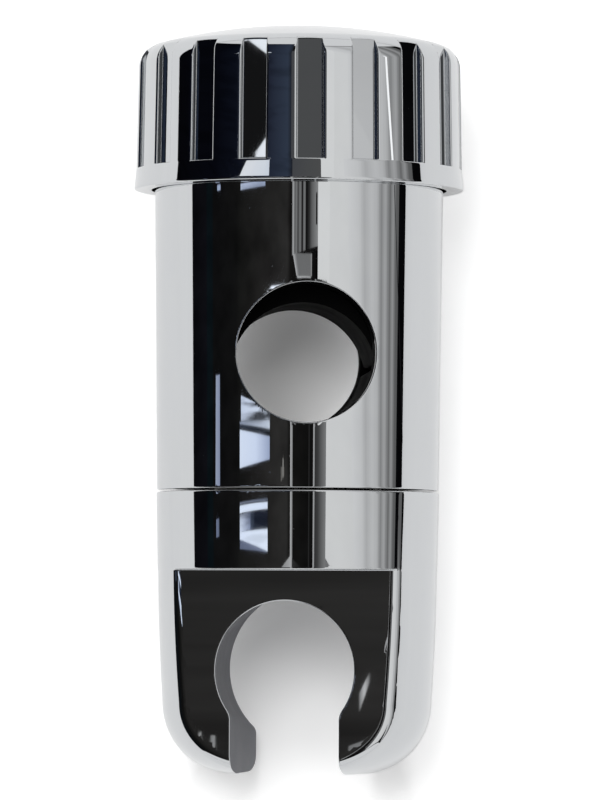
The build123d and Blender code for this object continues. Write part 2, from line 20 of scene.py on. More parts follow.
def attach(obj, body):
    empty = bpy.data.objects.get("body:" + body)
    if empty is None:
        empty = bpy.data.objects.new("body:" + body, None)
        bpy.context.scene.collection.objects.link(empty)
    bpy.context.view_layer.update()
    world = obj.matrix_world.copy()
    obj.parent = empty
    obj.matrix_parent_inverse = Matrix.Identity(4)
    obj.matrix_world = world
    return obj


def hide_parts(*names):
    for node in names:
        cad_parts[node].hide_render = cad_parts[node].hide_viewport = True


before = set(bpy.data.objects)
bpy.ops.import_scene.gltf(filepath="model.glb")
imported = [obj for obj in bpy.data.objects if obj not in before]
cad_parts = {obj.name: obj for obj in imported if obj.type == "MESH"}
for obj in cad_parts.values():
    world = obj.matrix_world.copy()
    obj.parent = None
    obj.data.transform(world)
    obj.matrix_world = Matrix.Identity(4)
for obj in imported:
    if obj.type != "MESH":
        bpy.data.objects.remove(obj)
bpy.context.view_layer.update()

log = logging.getLogger("rail_slider")
Array = np.ndarray
Field = Callable[[Array, Array, Array], Array]
METRE = 0.001
WHITE = (1.0, 1.0, 1.0, 1.0)

# Cells left free round a form. They aren't whole numbers, so flat faces fall between the grid's planes.
MARGIN_BELOW = 1.7
MARGIN_ABOVE = 2.2
# Half the span over which a field's slope is measured, in millimetres.
PROBE_MM = 0.004
# A field's slope is taken as no flatter than this where points are settled.
FLATTEST = 0.2
# Longest step of a point that is being settled, in cells.
LONGEST_STEP = 0.5
# Least values that are divided by: a length, and a spread of angles or a distance from the axis.
TINY = 1e-9
SMALL = 1e-6
# How far cutting forms reach past what they cut, in millimetres.
PAST = 1.0


class Slot(Enum):
    """Material slots of the record."""

    CHROME = "chrome"
    BLACK_PLASTIC = "black_plastic"
    STEEL = "steel"
    BRASS = "brass"
    ACETAL = "acetal"


def linear(code: str) -> tuple[float, float, float, float]:
    """Turn an sRGB hex colour into linear values.

    Args:
        code: six hex digits.

    Returns:
        Linear red, green and blue, and a full alpha.
    """
    channels = [int(code[i : i + 2], 16) / 255 for i in (0, 2, 4)]
    red, green, blue = [c / 12.92 if c <= 0.04045 else ((c + 0.055) / 1.055) ** 2.4 for c in channels]
    return red, green, blue, 1.0


def add_node(
    tree: bpy.types.NodeTree, kind: str, inputs: Optional[dict[Any, Any]] = None, **settings: Any
) -> Any:
    """Add one shader node.

    Args:
        tree: the node tree that takes it.
        kind: the node's type name.
        inputs: a value, or the socket to link from, for each named or numbered input.
        settings: properties of the node itself.

    Returns:
        The new node.
    """
    node = tree.nodes.new(kind)
    for name, value in settings.items():
        setattr(node, name, value)
    for socket, value in (inputs or {}).items():
        if isinstance(value, bpy.types.NodeSocket):
            tree.links.new(value, node.inputs[socket])
        else:
            node.inputs[socket].default_value = value
    return node


def maths(tree: bpy.types.NodeTree, operation: str, *values: Any) -> bpy.types.NodeSocket:
    """Add one step of arithmetic.

    Args:
        tree: the node tree that takes it.
        operation: what it does.
        values: the numbers or sockets that it works on.

    Returns:
        The socket of its result.
    """
    return add_node(tree, "ShaderNodeMath", dict(enumerate(values)), operation=operation).outputs[0]


def noise(
    tree: bpy.types.NodeTree, where: bpy.types.NodeSocket, size_mm: float, **inputs: float
) -> bpy.types.NodeSocket:
    """Add soft noise.

    Args:
        tree: the node tree that takes it.
        where: place on the surface, in metres.
        size_mm: the width over which it changes.
        inputs: its other inputs by name.

    Returns:
        The socket of its value.
    """
    inputs.update(Vector=where, Scale=1000 / size_mm)
    return add_node(tree, "ShaderNodeTexNoise", inputs).outputs["Fac"]


def ranged(
    tree: bpy.types.NodeTree,
    value: bpy.types.NodeSocket,
    given: tuple[float, float],
    made: tuple[float, float],
    **settings: Any,
) -> bpy.types.NodeSocket:
    """Turn one range of values into another, held at its ends.

    Args:
        tree: the node tree that takes it.
        value: the socket of the value.
        given: two values that it may have.
        made: what they turn into.
        settings: properties of the node itself.

    Returns:
        The socket of the new value.
    """
    inputs = dict(zip(("From Min", "From Max", "To Min", "To Max"), (*given, *made)))
    return add_node(tree, "ShaderNodeMapRange", {"Value": value, **inputs}, **settings).outputs["Result"]


def tinted(tree: bpy.types.NodeTree, share: bpy.types.NodeSocket, first: str, second: str) -> Any:
    """Blend two colours.

    Args:
        tree: the node tree that takes it.
        share: the socket of the second colour's share.
        first: one colour, in six hex digits.
        second: the other.

    Returns:
        The socket of the blend.
    """
    inputs = {"Factor": share, 6: linear(first), 7: linear(second)}
    return add_node(tree, "ShaderNodeMix", inputs, data_type="RGBA").outputs[2]


def relief(
    tree: bpy.types.NodeTree, height: bpy.types.NodeSocket, depth_mm: float, strength: float = 1.0
) -> bpy.types.NodeSocket:
    """Tilt a surface's normals as a shallow relief does.

    Args:
        tree: the node tree that takes it.
        height: the socket of the relief's height, from 0 to 1.
        depth_mm: the relief's depth.
        strength: how much of it counts.

    Returns:
        The socket of the normal.
    """
    inputs = {"Height": height, "Distance": depth_mm * METRE, "Strength": strength}
    return add_node(tree, "ShaderNodeBump", inputs).outputs["Normal"]


def new_material(name: str) -> tuple[bpy.types.Material, bpy.types.NodeTree, Any]:
    """Start a material.

    Args:
        name: its name.

    Returns:
        The material, its node tree and its surface shader.
    """
    material = bpy.data.materials.new(name)
    material.use_nodes = True
    return material, material.node_tree, material.node_tree.nodes["Principled BSDF"]


def link_surface(tree: bpy.types.NodeTree, shader: Any, colour: Any, rough: Any, bump: Any) -> None:
    """Link what varies over a surface to its shader.

    Args:
        tree: the material's node tree.
        shader: its surface shader.
        colour: the socket that gives its colour.
        rough: the socket that gives its roughness.
        bump: the socket that gives its normal.
    """
    for name, source in (("Base Color", colour), ("Roughness", rough), ("Normal", bump)):
        tree.links.new(source, shader.inputs[name])


def cut_together(a: Array, b: Array, edge: float = 0.0) -> Array:
    """Space inside both fields, with the edge between them rounded off.

    Args:
        a: signed distance to the first form.
        b: signed distance to the second form.
        edge: width of the rounding, in millimetres.

    Returns:
        The combined field.
    """
    if edge == 0:
        return np.maximum(a, b)
    share = np.clip(edge - np.abs(a - b), 0, None) / edge
    return np.maximum(a, b) + share * share * edge / 4


def joined(a: Array, b: Array, edge: float = 0.0) -> Array:
    """Space inside either field, with the inner corner between them filled a little.

    Args:
        a: signed distance to the first form.
        b: signed distance to the second form.
        edge: width of the filling, in millimetres.

    Returns:
        The combined field.
    """
    return -cut_together(-a, -b, edge)


def rolled_edge(a: Array, b: Array, radius: float, turn: Array) -> Array:
    """Space inside both fields, with a round edge of a true radius.

    Args:
        a: signed distance to the first face.
        b: signed distance to the second face.
        radius: radius of the edge.
        turn: cosine of the angle between the two faces' normals.

    Returns:
        The combined field.
    """
    u = a + radius
    v = b + radius
    between = (u > turn * v) & (v > turn * u)
    spread = np.clip(u * u + v * v - 2 * turn * u * v, 0, None) / np.clip(1 - turn * turn, SMALL, None)
    return np.where(between, np.sqrt(spread) - radius, np.maximum(a, b))


def brick(x: Array, y: Array, z: Array, low: tuple[float, ...], high: tuple[float, ...]) -> Array:
    """Field of a box from its low and high corners."""
    sides = [np.maximum(lo - v, v - hi) for v, lo, hi in zip((x, y, z), low, high)]
    return np.maximum(np.maximum(sides[0], sides[1]), sides[2])


@dataclass
class Skin:
    """Lays a mesh round a distance field and settles its points onto the true surface.

    Args:
        form: the signed distance field, negative inside.
        low: low corner of the space that holds the form.
        high: high corner of that space.
        cell: spacing of the first mesh, in millimetres.
        finest: shortest edge that is still divided.
        turn: angle in degrees between the normals at an edge's ends above which it is divided.
        rounds: how many times edges are divided.
        hidden: a field that is below zero where the surface is out of sight.
        coarse: shortest edge that is still divided there.
    """

    form: Field
    low: tuple[float, float, float]
    high: tuple[float, float, float]
    cell: float = 0.6
    finest: float = 0.10
    turn: float = 13.0
    rounds: int = 3
    hidden: Optional[Field] = None
    coarse: float = 0.5

    def first_net(self) -> tuple[Array, Array]:
        """Lay one point in each cell that the surface crosses.

        Returns:
            The points, and the triangles between them.
        """
        below, above = MARGIN_BELOW * self.cell, MARGIN_ABOVE * self.cell
        axes = [np.arange(lo - below, hi + above, self.cell) for lo, hi in zip(self.low, self.high)]
        grid = np.stack(np.meshgrid(*axes, indexing="ij"), axis=-1)
        value = self.form(grid[..., 0], grid[..., 1], grid[..., 2])
        inside = value < 0
        cells = tuple(n - 1 for n in value.shape)
        total = np.zeros(cells + (3,))
        count = np.zeros(cells)
        crossings = []
        for axis in range(3):
            start = [slice(None)] * 3
            end = [slice(None)] * 3
            start[axis] = slice(0, -1)
            end[axis] = slice(1, None)
            first, second = value[tuple(start)], value[tuple(end)]
            crossed = inside[tuple(start)] != inside[tuple(end)]
            share = np.where(crossed, first / np.where(crossed, first - second, 1), 0)
            point = grid[tuple(start)].copy()
            point[..., axis] += share * self.cell
            point *= crossed[..., None]
            crossings.append((crossed, inside[tuple(start)]))
            others = [a for a in range(3) if a != axis]
            for step_b in (0, 1):
                for step_c in (0, 1):
                    pick = [slice(None)] * 3
                    pick[others[0]] = slice(step_b, cells[others[0]] + step_b)
                    pick[others[1]] = slice(step_c, cells[others[1]] + step_c)
                    total += point[tuple(pick)]
                    count += crossed[tuple(pick)]
        held = count > 0
        number = np.full(cells, -1)
        number[held] = np.arange(held.sum())
        points = total[held] / count[held][:, None]
        quads = []
        for axis, (crossed, start_inside) in enumerate(crossings):
            b, c = (axis + 1) % 3, (axis + 2) % 3
            where = np.argwhere(crossed)
            fits = (where[:, b] > 0) & (where[:, c] > 0) & (where[:, b] < cells[b]) & (where[:, c] < cells[c])
            where = where[fits]
            corners = []
            for step_b, step_c in ((-1, -1), (0, -1), (0, 0), (-1, 0)):
                at = where.copy()
                at[:, b] += step_b
                at[:, c] += step_c
                corners.append(number[at[:, 0], at[:, 1], at[:, 2]])
            quad = np.stack(corners, axis=1)
            outward = start_inside[where[:, 0], where[:, 1], where[:, 2]]
            quads.append(np.where(outward[:, None], quad, quad[:, ::-1]))
        quad = np.concatenate(quads)
        return points, np.concatenate([quad[:, [0, 1, 2]], quad[:, [0, 2, 3]]])

    def slope(self, points: Array) -> Array:
        """Gradient of the field at points, by central differences."""
        parts = []
        for axis in range(3):
            shift = np.zeros(3)
            shift[axis] = PROBE_MM
            ahead, behind = points + shift, points - shift
            difference = self.form(*ahead.T) - self.form(*behind.T)
            parts.append(difference / (2 * PROBE_MM))
        return np.stack(parts, axis=1)

    def settle(self, points: Array, passes: int = 6) -> Array:
        """Move points onto the surface.

        Args:
            points: points near it.
            passes: number of steps.

        Returns:
            The moved points.
        """
        for _ in range(passes):
            slope = self.slope(points)
            size = np.clip((slope * slope).sum(axis=1), FLATTEST, None)
            move = -(self.form(*points.T) / size)[:, None] * slope
            reach = np.linalg.norm(move, axis=1)
            limit = np.minimum(1, LONGEST_STEP * self.cell / np.clip(reach, TINY, None))
            points = points + move * limit[:, None]
        return points

    def normals(self, points: Array) -> Array:
        """Unit normals of the surface at points."""
        slope = self.slope(points)
        return slope / np.clip(np.linalg.norm(slope, axis=1), TINY, None)[:, None]

    def divided(self, points: Array, triangles: Array) -> tuple[Array, Array]:
        """Divide the edges across which the surface turns most.

        Args:
            points: settled points.
            triangles: the triangles between them.

        Returns:
            The new points and triangles.
        """
        normals = self.normals(points)
        sides = np.concatenate([triangles[:, [0, 1]], triangles[:, [1, 2]], triangles[:, [2, 0]]])
        edges, index = np.unique(np.sort(sides, axis=1), axis=0, return_inverse=True)
        index = index.reshape(3, -1).T
        cosine = (normals[edges[:, 0]] * normals[edges[:, 1]]).sum(axis=1)
        length = np.linalg.norm(points[edges[:, 0]] - points[edges[:, 1]], axis=1)
        shortest = np.full(len(edges), self.finest)
        if self.hidden is not None:
            between = (points[edges[:, 0]] + points[edges[:, 1]]) / 2
            shortest[self.hidden(*between.T) < 0] = self.coarse
        marked = (cosine < math.cos(math.radians(self.turn))) & (length > shortest)
        middle = np.full(len(edges), -1)
        middle[marked] = len(points) + np.arange(marked.sum())
        added = self.settle((points[edges[marked, 0]] + points[edges[marked, 1]]) / 2)
        cut = middle[index]
        split = cut >= 0
        amount = split.sum(axis=1)
        done = [triangles[amount == 0]]
        for start in range(3):
            turned = [start, (start + 1) % 3, (start + 2) % 3]
            only = (amount == 1) & split[:, start]
            a, b, c = triangles[only][:, turned].T
            m = cut[only, start]
            done.append(np.stack([a, m, c], axis=1))
            done.append(np.stack([m, b, c], axis=1))
            pair = (amount == 2) & ~split[:, turned[2]]
            a, b, c = triangles[pair][:, turned].T
            m, n = cut[pair, turned[0]], cut[pair, turned[1]]
            done.append(np.stack([m, b, n], axis=1))
            done.append(np.stack([a, m, n], axis=1))
            done.append(np.stack([a, n, c], axis=1))
        a, b, c = triangles[amount == 3].T
        m, n, o = cut[amount == 3].T
        done += [np.stack(t, axis=1) for t in ((a, m, o), (m, b, n), (o, n, c), (m, n, o))]
        return np.concatenate([points, added]), np.concatenate(done)

    def build(self) -> tuple[Array, Array, Array]:
        """Make the whole skin.

        Returns:
            Points, triangles and point normals.
        """
        points, triangles = self.first_net()
        points = self.settle(points)
        for _ in range(self.rounds):
            points, triangles = self.divided(points, triangles)
        return points, triangles, self.normals(points)


def make_piece(name: str, points: Array, faces: Array, normals: Array) -> bpy.types.Object:
    """Make a smooth mesh object from points in millimetres.

    Args:
        name: name of the piece.
        points: one row a point.
        faces: one row a face, all with the same number of corners.
        normals: one unit row a point.

    Returns:
        The linked object.
    """
    corners = faces.shape[1]
    mesh = bpy.data.meshes.new(name)
    mesh.vertices.add(len(points))
    mesh.vertices.foreach_set("co", (points * METRE).astype(np.float32).ravel())
    mesh.loops.add(faces.size)
    mesh.loops.foreach_set("vertex_index", faces.astype(np.int32).ravel())
    mesh.polygons.add(len(faces))
    mesh.polygons.foreach_set("loop_start", np.arange(0, faces.size, corners, dtype=np.int32))
    mesh.polygons.foreach_set("use_smooth", np.ones(len(faces), dtype=bool))
    mesh.update(calc_edges=True)
    mesh.validate()
    mesh.normals_split_custom_set_from_vertices(normals.tolist())
    piece = bpy.data.objects.new(name, mesh)
    bpy.context.scene.collection.objects.link(piece)
    return piece


def place(piece: bpy.types.Object, body: str, node: str, finish: bpy.types.Material) -> None:
    """Dress a piece, set it on its body and let it stand for its node.

    Args:
        piece: the new mesh object.
        body: CAD body that carries it.
        node: CAD node that it stands for.
        finish: its material.
    """
    piece.data.materials.append(finish)
    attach(piece, body)
    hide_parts(node)
    mesh = piece.data
    log.info("%s: %d points, %d faces, on %s", piece.name, len(mesh.vertices), len(mesh.polygons), body)


@dataclass(frozen=True)
class ChromePlate:
    """Bright chrome, electroplated on moulded ABS over copper and nickel.

    The plating levels the moulding's surface to a mirror, so the eye sees clear reflections. They
    waver a little, because the moulding under the plating sinks and ripples over some millimetres,
    and faint wiping marks show as a haze in the dark ones.
    """

    name: str = "chrome_plate"
    colour: str = "C6C8CB"
    pale_colour: str = "C9CBCC"
    roughness: float = 0.012
    hazed: float = 1.8
    ripple_mm: float = 11.0
    ripple_depth_mm: float = 0.0014
    smear_mm: float = 6.0
    # Specks of dust, and how many of their widths they lie apart.
    speck_mm: float = 0.35
    speck_apart: float = 9.0
    speck_roughness: float = 0.12

    def make(self) -> bpy.types.Material:
        """Build the material."""
        material, tree, shader = new_material(self.name)
        shader.inputs["Metallic"].default_value = 1.0
        where = add_node(tree, "ShaderNodeTexCoord").outputs["Object"]
        smear = noise(tree, where, self.smear_mm, Detail=4.0, Roughness=0.6, Distortion=0.8)
        haze = ranged(tree, smear, (0.45, 0.75), (self.roughness, self.roughness * self.hazed))
        speck = add_node(
            tree,
            "ShaderNodeTexVoronoi",
            {"Vector": where, "Scale": 1000 / (self.speck_mm * self.speck_apart)},
            feature="F1",
        )
        dust = ranged(tree, speck.outputs["Distance"], (0.02, 0.05), (self.speck_roughness, 0.0))
        rough = maths(tree, "ADD", haze, dust)
        colour = tinted(tree, smear, self.colour, self.pale_colour)
        ripple = noise(tree, where, self.ripple_mm, Detail=1.5, Roughness=0.4)
        link_surface(tree, shader, colour, rough, relief(tree, ripple, self.ripple_depth_mm))
        return material


@dataclass(frozen=True)
class MouldedPlastic:
    """Injection-moulded plastic, black acetal or ABS, or natural acetal.

    The mould leaves a fine even grain, so highlights are soft, and rubbed places are a little
    smoother than the rest. The walls of the holder's seat are made the same way, in dull grey in
    place of their chrome: painted shade, so the seat's recess shows darker.
    """

    name: str = "black_moulding"
    colour: str = "070707"
    worn_colour: str = "0D0D0E"
    roughness: float = 0.34
    specular_level: float = 0.20
    rubbed: float = 0.06
    grained: float = 0.08
    ior: float = 1.48
    grain_mm: float = 0.35
    grain_depth_mm: float = 0.006
    flow_mm: float = 9.0

    def make(self) -> bpy.types.Material:
        """Build the material."""
        material, tree, shader = new_material(self.name)
        shader.inputs["IOR"].default_value = self.ior
        shader.inputs["Specular IOR Level"].default_value = self.specular_level
        where = add_node(tree, "ShaderNodeTexCoord").outputs["Object"]
        flow = noise(tree, where, self.flow_mm, Detail=5.0, Roughness=0.65)
        colour = tinted(tree, flow, self.colour, self.worn_colour)
        spread = (self.roughness - self.rubbed, self.roughness + self.grained)
        rough = ranged(tree, flow, (0.3, 0.7), spread)
        grain = noise(tree, where, self.grain_mm, Detail=2.0)
        link_surface(tree, shader, colour, rough, relief(tree, grain, self.grain_depth_mm))
        return material


@dataclass(frozen=True)
class TurnedMetal:
    """Small turned parts: zinc-plated steel or free-cutting brass.

    The lathe tool leaves fine rings round the axis, which show as a drawn-out highlight.
    """

    name: str = "zinc_plated_steel"
    colour: str = "B9BCC2"
    dark_colour: str = "8F9399"
    roughness: float = 0.30
    bright: float = 0.08
    dulled: float = 0.10
    ring_mm: float = 0.12
    ring_depth_mm: float = 0.004
    patch_mm: float = 2.5

    def make(self) -> bpy.types.Material:
        """Build the material."""
        material, tree, shader = new_material(self.name)
        shader.inputs["Metallic"].default_value = 1.0
        where = add_node(tree, "ShaderNodeTexCoord").outputs["Object"]
        rings = add_node(
            tree,
            "ShaderNodeTexWave",
            {
                "Vector": where,
                "Scale": 1000 / self.ring_mm / (2 * math.pi),
                "Distortion": 0.4,
                "Detail": 1.0,
            },
            wave_type="BANDS",
            bands_direction="Y",
        )
        patch = noise(tree, where, self.patch_mm, Detail=4.0)
        colour = tinted(tree, patch, self.colour, self.dark_colour)
        spread = (self.roughness - self.bright, self.roughness + self.dulled)
        rough = ranged(tree, patch, (0.0, 1.0), spread)
        bump = relief(tree, rings.outputs["Fac"], self.ring_depth_mm, 0.6)
        link_surface(tree, shader, colour, rough, bump)
        return material


@dataclass(frozen=True)
class Paper:
    """White sheet of paper that the slider lies on: matt, with a soft fibrous mottle.

    The eye and the chrome see it as pure white, greyed by the slider's soft shadow and by painted shade:
    under the slider the eye's white lift is kept small in a patch. From below, the eye looks through it
    at the slider's back.
    """

    colour: str = "FAFAFA"
    shade: str = "F5F5F5"
    mottle_mm: float = 40.0
    seen_lift: float = 0.38
    mirrored_lift: float = 0.08
    # Painted shade: in a patch under the slider, bounded by these spans, the eye's lift falls to this.
    painted_shade_lift: float = 0.085
    painted_shade_middle_mm: float = 1.7
    painted_shade_half_mm: tuple[float, float] = (14.0, 20.0)
    painted_shade_low_mm: tuple[float, float] = (-61.0, -76.0)
    painted_shade_high_mm: tuple[float, float] = (30.0, 44.0)

    def make(self) -> bpy.types.Material:
        """Build the material."""
        material, tree, shader = new_material("white_paper")
        shader.inputs["Roughness"].default_value = 0.95
        shader.inputs["Specular IOR Level"].default_value = 0.0
        where = add_node(tree, "ShaderNodeTexCoord").outputs["Object"]
        mottle = noise(tree, where, self.mottle_mm)
        tree.links.new(tinted(tree, mottle, self.colour, self.shade), shader.inputs["Base Color"])
        ray = add_node(tree, "ShaderNodeLightPath")
        # Painted shade: the eye's lift is small under the slider, so the paper there shows grey.
        bare = self.lift_with_painted_shade(tree, where)
        eye = ray.outputs["Is Camera Ray"]
        seen = maths(tree, "MULTIPLY", eye, bare)
        mirrored = maths(tree, "MAXIMUM", ray.outputs["Is Glossy Ray"], ray.outputs["Is Transmission Ray"])
        lift = maths(tree, "MULTIPLY_ADD", mirrored, self.mirrored_lift, seen)
        glow = add_node(tree, "ShaderNodeEmission", {"Color": WHITE, "Strength": lift})
        both = add_node(tree, "ShaderNodeAddShader", {0: shader.outputs["BSDF"], 1: glow.outputs["Emission"]})
        behind = add_node(tree, "ShaderNodeNewGeometry").outputs["Backfacing"]
        below = maths(tree, "MULTIPLY", behind, eye)
        clear = add_node(tree, "ShaderNodeBsdfTransparent")
        choice = {0: below, 1: both.outputs["Shader"], 2: clear.outputs["BSDF"]}
        sheet = add_node(tree, "ShaderNodeMixShader", choice)
        tree.links.new(sheet.outputs["Shader"], tree.nodes["Material Output"].inputs["Surface"])
        return material

    def lift_with_painted_shade(self, tree: bpy.types.NodeTree, where: bpy.types.NodeSocket) -> bpy.types.NodeSocket:
        """Lift of the sheet's white, with painted shade: the lift is kept small in a patch under the slider.

        Args:
            tree: the material's node tree.
            where: place on the sheet, in metres.

        Returns:
            The lift at that place.
        """
        part = add_node(tree, "ShaderNodeSeparateXYZ", {"Vector": where})
        aside = maths(tree, "SUBTRACT", part.outputs["X"], self.painted_shade_middle_mm * METRE)
        aside = maths(tree, "ABSOLUTE", aside)
        lift = None
        for value, (shaded, bare) in (
            (aside, self.painted_shade_half_mm),
            (part.outputs["Y"], self.painted_shade_low_mm),
            (part.outputs["Y"], self.painted_shade_high_mm),
        ):
            given = (shaded * METRE, bare * METRE)
            made = (self.painted_shade_lift, self.seen_lift)
            edge = ranged(tree, value, given, made, interpolation_type="SMOOTHSTEP")
            lift = edge if lift is None else maths(tree, "MAXIMUM", lift, edge)
        return lift


@dataclass
class BodyShell:
    """Chromed tube with the rail bore across it, a floor below and a draft towards the knob."""

    bore_radius: float = 11.15
    bottom_y: float = -21.55
    top_y: float = 31.55
    bottom_radius: float = 22.86
    draft: float = 0.66
    wall: float = 2.30
    floor: float = 2.00
    pivot_hole: float = 5.48
    bore_edge: float = 0.26
    end_edge: float = 0.30
    rib_height: float = 0.80
    rib_half: float = 1.00
    rib_top: float = 20.95
    knob_rim_y: float = 29.00

    def radius_at(self, y: Array) -> Array:
        """Outer radius at a height."""
        return self.bottom_radius + (y - self.bottom_y) * math.tan(math.radians(self.draft))

    def form(self, x: Array, y: Array, z: Array) -> Array:
        """Signed distance to the shell."""
        rho = np.hypot(x, z)
        side = (rho - self.radius_at(y)) * math.cos(math.radians(self.draft))
        solid = cut_together(side, self.bottom_y - y, self.end_edge)
        solid = cut_together(solid, y - self.top_y, self.end_edge)
        inner = self.bottom_radius - self.wall
        hollow = np.maximum(rho - inner, self.bottom_y + self.floor - y)
        solid = np.maximum(solid, -hollow)
        rib = brick(
            np.abs(x),
            y,
            z,
            (inner - self.rib_height, self.bottom_y + self.floor / 2, -self.rib_half),
            (inner + self.wall / 2, self.rib_top, self.rib_half),
        )
        solid = np.minimum(solid, rib)
        solid = np.maximum(solid, self.pivot_hole - rho)
        return cut_together(solid, self.bore_radius - np.hypot(x, y), self.bore_edge)

    def hidden(self, x: Array, y: Array, z: Array) -> Array:
        """Field that is below zero on the inner half of the wall and under the knob."""
        return np.minimum(np.hypot(x, z) - self.bottom_radius + self.wall / 2, self.knob_rim_y - y)

    def build(self, chrome: bpy.types.Material) -> None:
        """Make the shell in place of its node.

        Args:
            chrome: the plated finish.
        """
        reach = float(self.radius_at(self.top_y))
        low = (-reach, self.bottom_y, -reach)
        high = (reach, self.top_y, reach)
        skin = Skin(self.form, low, high, cell=0.75, finest=0.095, turn=5.0, rounds=4, hidden=self.hidden)
        piece = make_piece("chromed_body", *skin.build())
        place(piece, "body", "body_shell", chrome)


@dataclass
class RailCarrier:
    """Black inner moulding: the dark wall of the rail bore, the shoe's guide and the pivot's well."""

    radius: float = 20.46
    bottom_y: float = -19.55
    top_y: float = 20.95
    bore_radius: float = 11.08
    relief_radius: float = 11.33
    chamber_low: float = -2.30
    chamber_half_width: float = 13.85
    chamber_half_depth: float = 13.254
    well_radius: float = 8.00
    well_floor: float = -17.55
    spigot_hole: float = 5.48
    pocket_inner: float = 11.0
    pocket_outer: float = 18.16
    pocket_depth: float = 6.0
    rib_half: float = 1.0
    groove_depth: float = 0.80
    groove_half: float = 1.10
    edge: float = 0.30

    def form(self, x: Array, y: Array, z: Array) -> Array:
        """Signed distance to the moulding."""
        rho = np.hypot(x, z)
        solid = cut_together(np.maximum(rho - self.radius, self.bottom_y - y), y - self.top_y, self.edge)
        across = np.hypot(x, y)
        solid = cut_together(solid, self.bore_radius - across, self.edge)
        relief = np.maximum(across - self.relief_radius, np.abs(z) - self.chamber_half_depth)
        solid = np.maximum(solid, -relief)
        chamber = brick(
            x,
            y,
            z,
            (-self.chamber_half_width, self.chamber_low, -self.chamber_half_depth),
            (self.chamber_half_width, self.top_y + 5 * PAST, self.chamber_half_depth),
        )
        solid = cut_together(solid, -chamber, self.edge)
        well = np.maximum(np.maximum(rho - self.well_radius, self.well_floor - y), y)
        solid = cut_together(solid, -well, self.edge)
        solid = np.maximum(solid, -np.maximum(rho - self.spigot_hole, y - self.well_floor - PAST))
        pocket = np.maximum(rho - self.pocket_outer, self.pocket_inner - rho)
        pocket = np.maximum(pocket, y - self.bottom_y - self.pocket_depth)
        web = np.minimum(np.abs(x - z), np.abs(x + z)) / math.sqrt(2) - self.rib_half
        solid = np.maximum(solid, -np.maximum(pocket, -web))
        groove = np.maximum(np.abs(z) - self.groove_half, self.radius - self.groove_depth - np.abs(x))
        return np.maximum(solid, -groove)

    def build(self, plastic: bpy.types.Material) -> None:
        """Make the moulding in place of its node.

        Args:
            plastic: the black moulded finish.
        """
        low = (-self.radius, self.bottom_y, -self.radius)
        high = (self.radius, self.top_y, self.radius)
        skin = Skin(self.form, low, high, cell=0.85, finest=0.25)
        piece = make_piece("bore_moulding", *skin.build())
        place(piece, "body", "rail_carrier", plastic)


@dataclass
class ClampShoe:
    """Black saddle over the rail, with the seat and the clip slot of the screw's tip."""

    saddle_radius: float = 11.80
    saddle_drop: float = 3.40
    half_width: float = 13.60
    half_depth: float = 13.004
    leg_y: float = -1.30
    top_y: float = 17.10
    corner: float = 3.00
    seat_radius: float = 4.16
    seat_y: float = 11.00
    clip_low: float = 14.10
    clip_high: float = 15.40
    clip_half: float = 4.60
    clip_back: float = -4.20
    tip_radius: float = 0.9
    edge: float = 0.35

    def form(self, x: Array, y: Array, z: Array) -> Array:
        """Signed distance to the shoe."""
        side = np.abs(x) - self.half_width
        corner = (np.abs(x) + y - self.half_width - self.top_y + self.corner) / math.sqrt(2)
        block = np.maximum(np.maximum(side, y - self.top_y), corner)
        block = rolled_edge(block, self.leg_y - y, self.tip_radius / 2, np.zeros_like(x))
        saddle = self.saddle_radius - np.hypot(x, y + self.saddle_drop)
        block = cut_together(block, saddle, 2 * self.edge)
        block = cut_together(block, np.abs(z) - self.half_depth, self.edge)
        seat = np.maximum(np.hypot(x, z) - self.seat_radius, self.seat_y - y)
        block = np.maximum(block, -seat)
        clip = brick(
            x,
            y,
            z,
            (-self.clip_half, self.clip_low, self.clip_back),
            (self.clip_half, self.clip_high, self.half_depth + PAST),
        )
        return np.maximum(block, -clip)

    def build(self, plastic: bpy.types.Material) -> None:
        """Make the shoe in place of its node.

        Args:
            plastic: the black moulded finish.
        """
        low = (-self.half_width, self.leg_y, -self.half_depth)
        high = (self.half_width, self.top_y, self.half_depth)
        skin = Skin(self.form, low, high, cell=0.6, finest=0.18)
        piece = make_piece("saddle_shoe", *skin.build())
        place(piece, "shoe", "clamp_shoe", plastic)


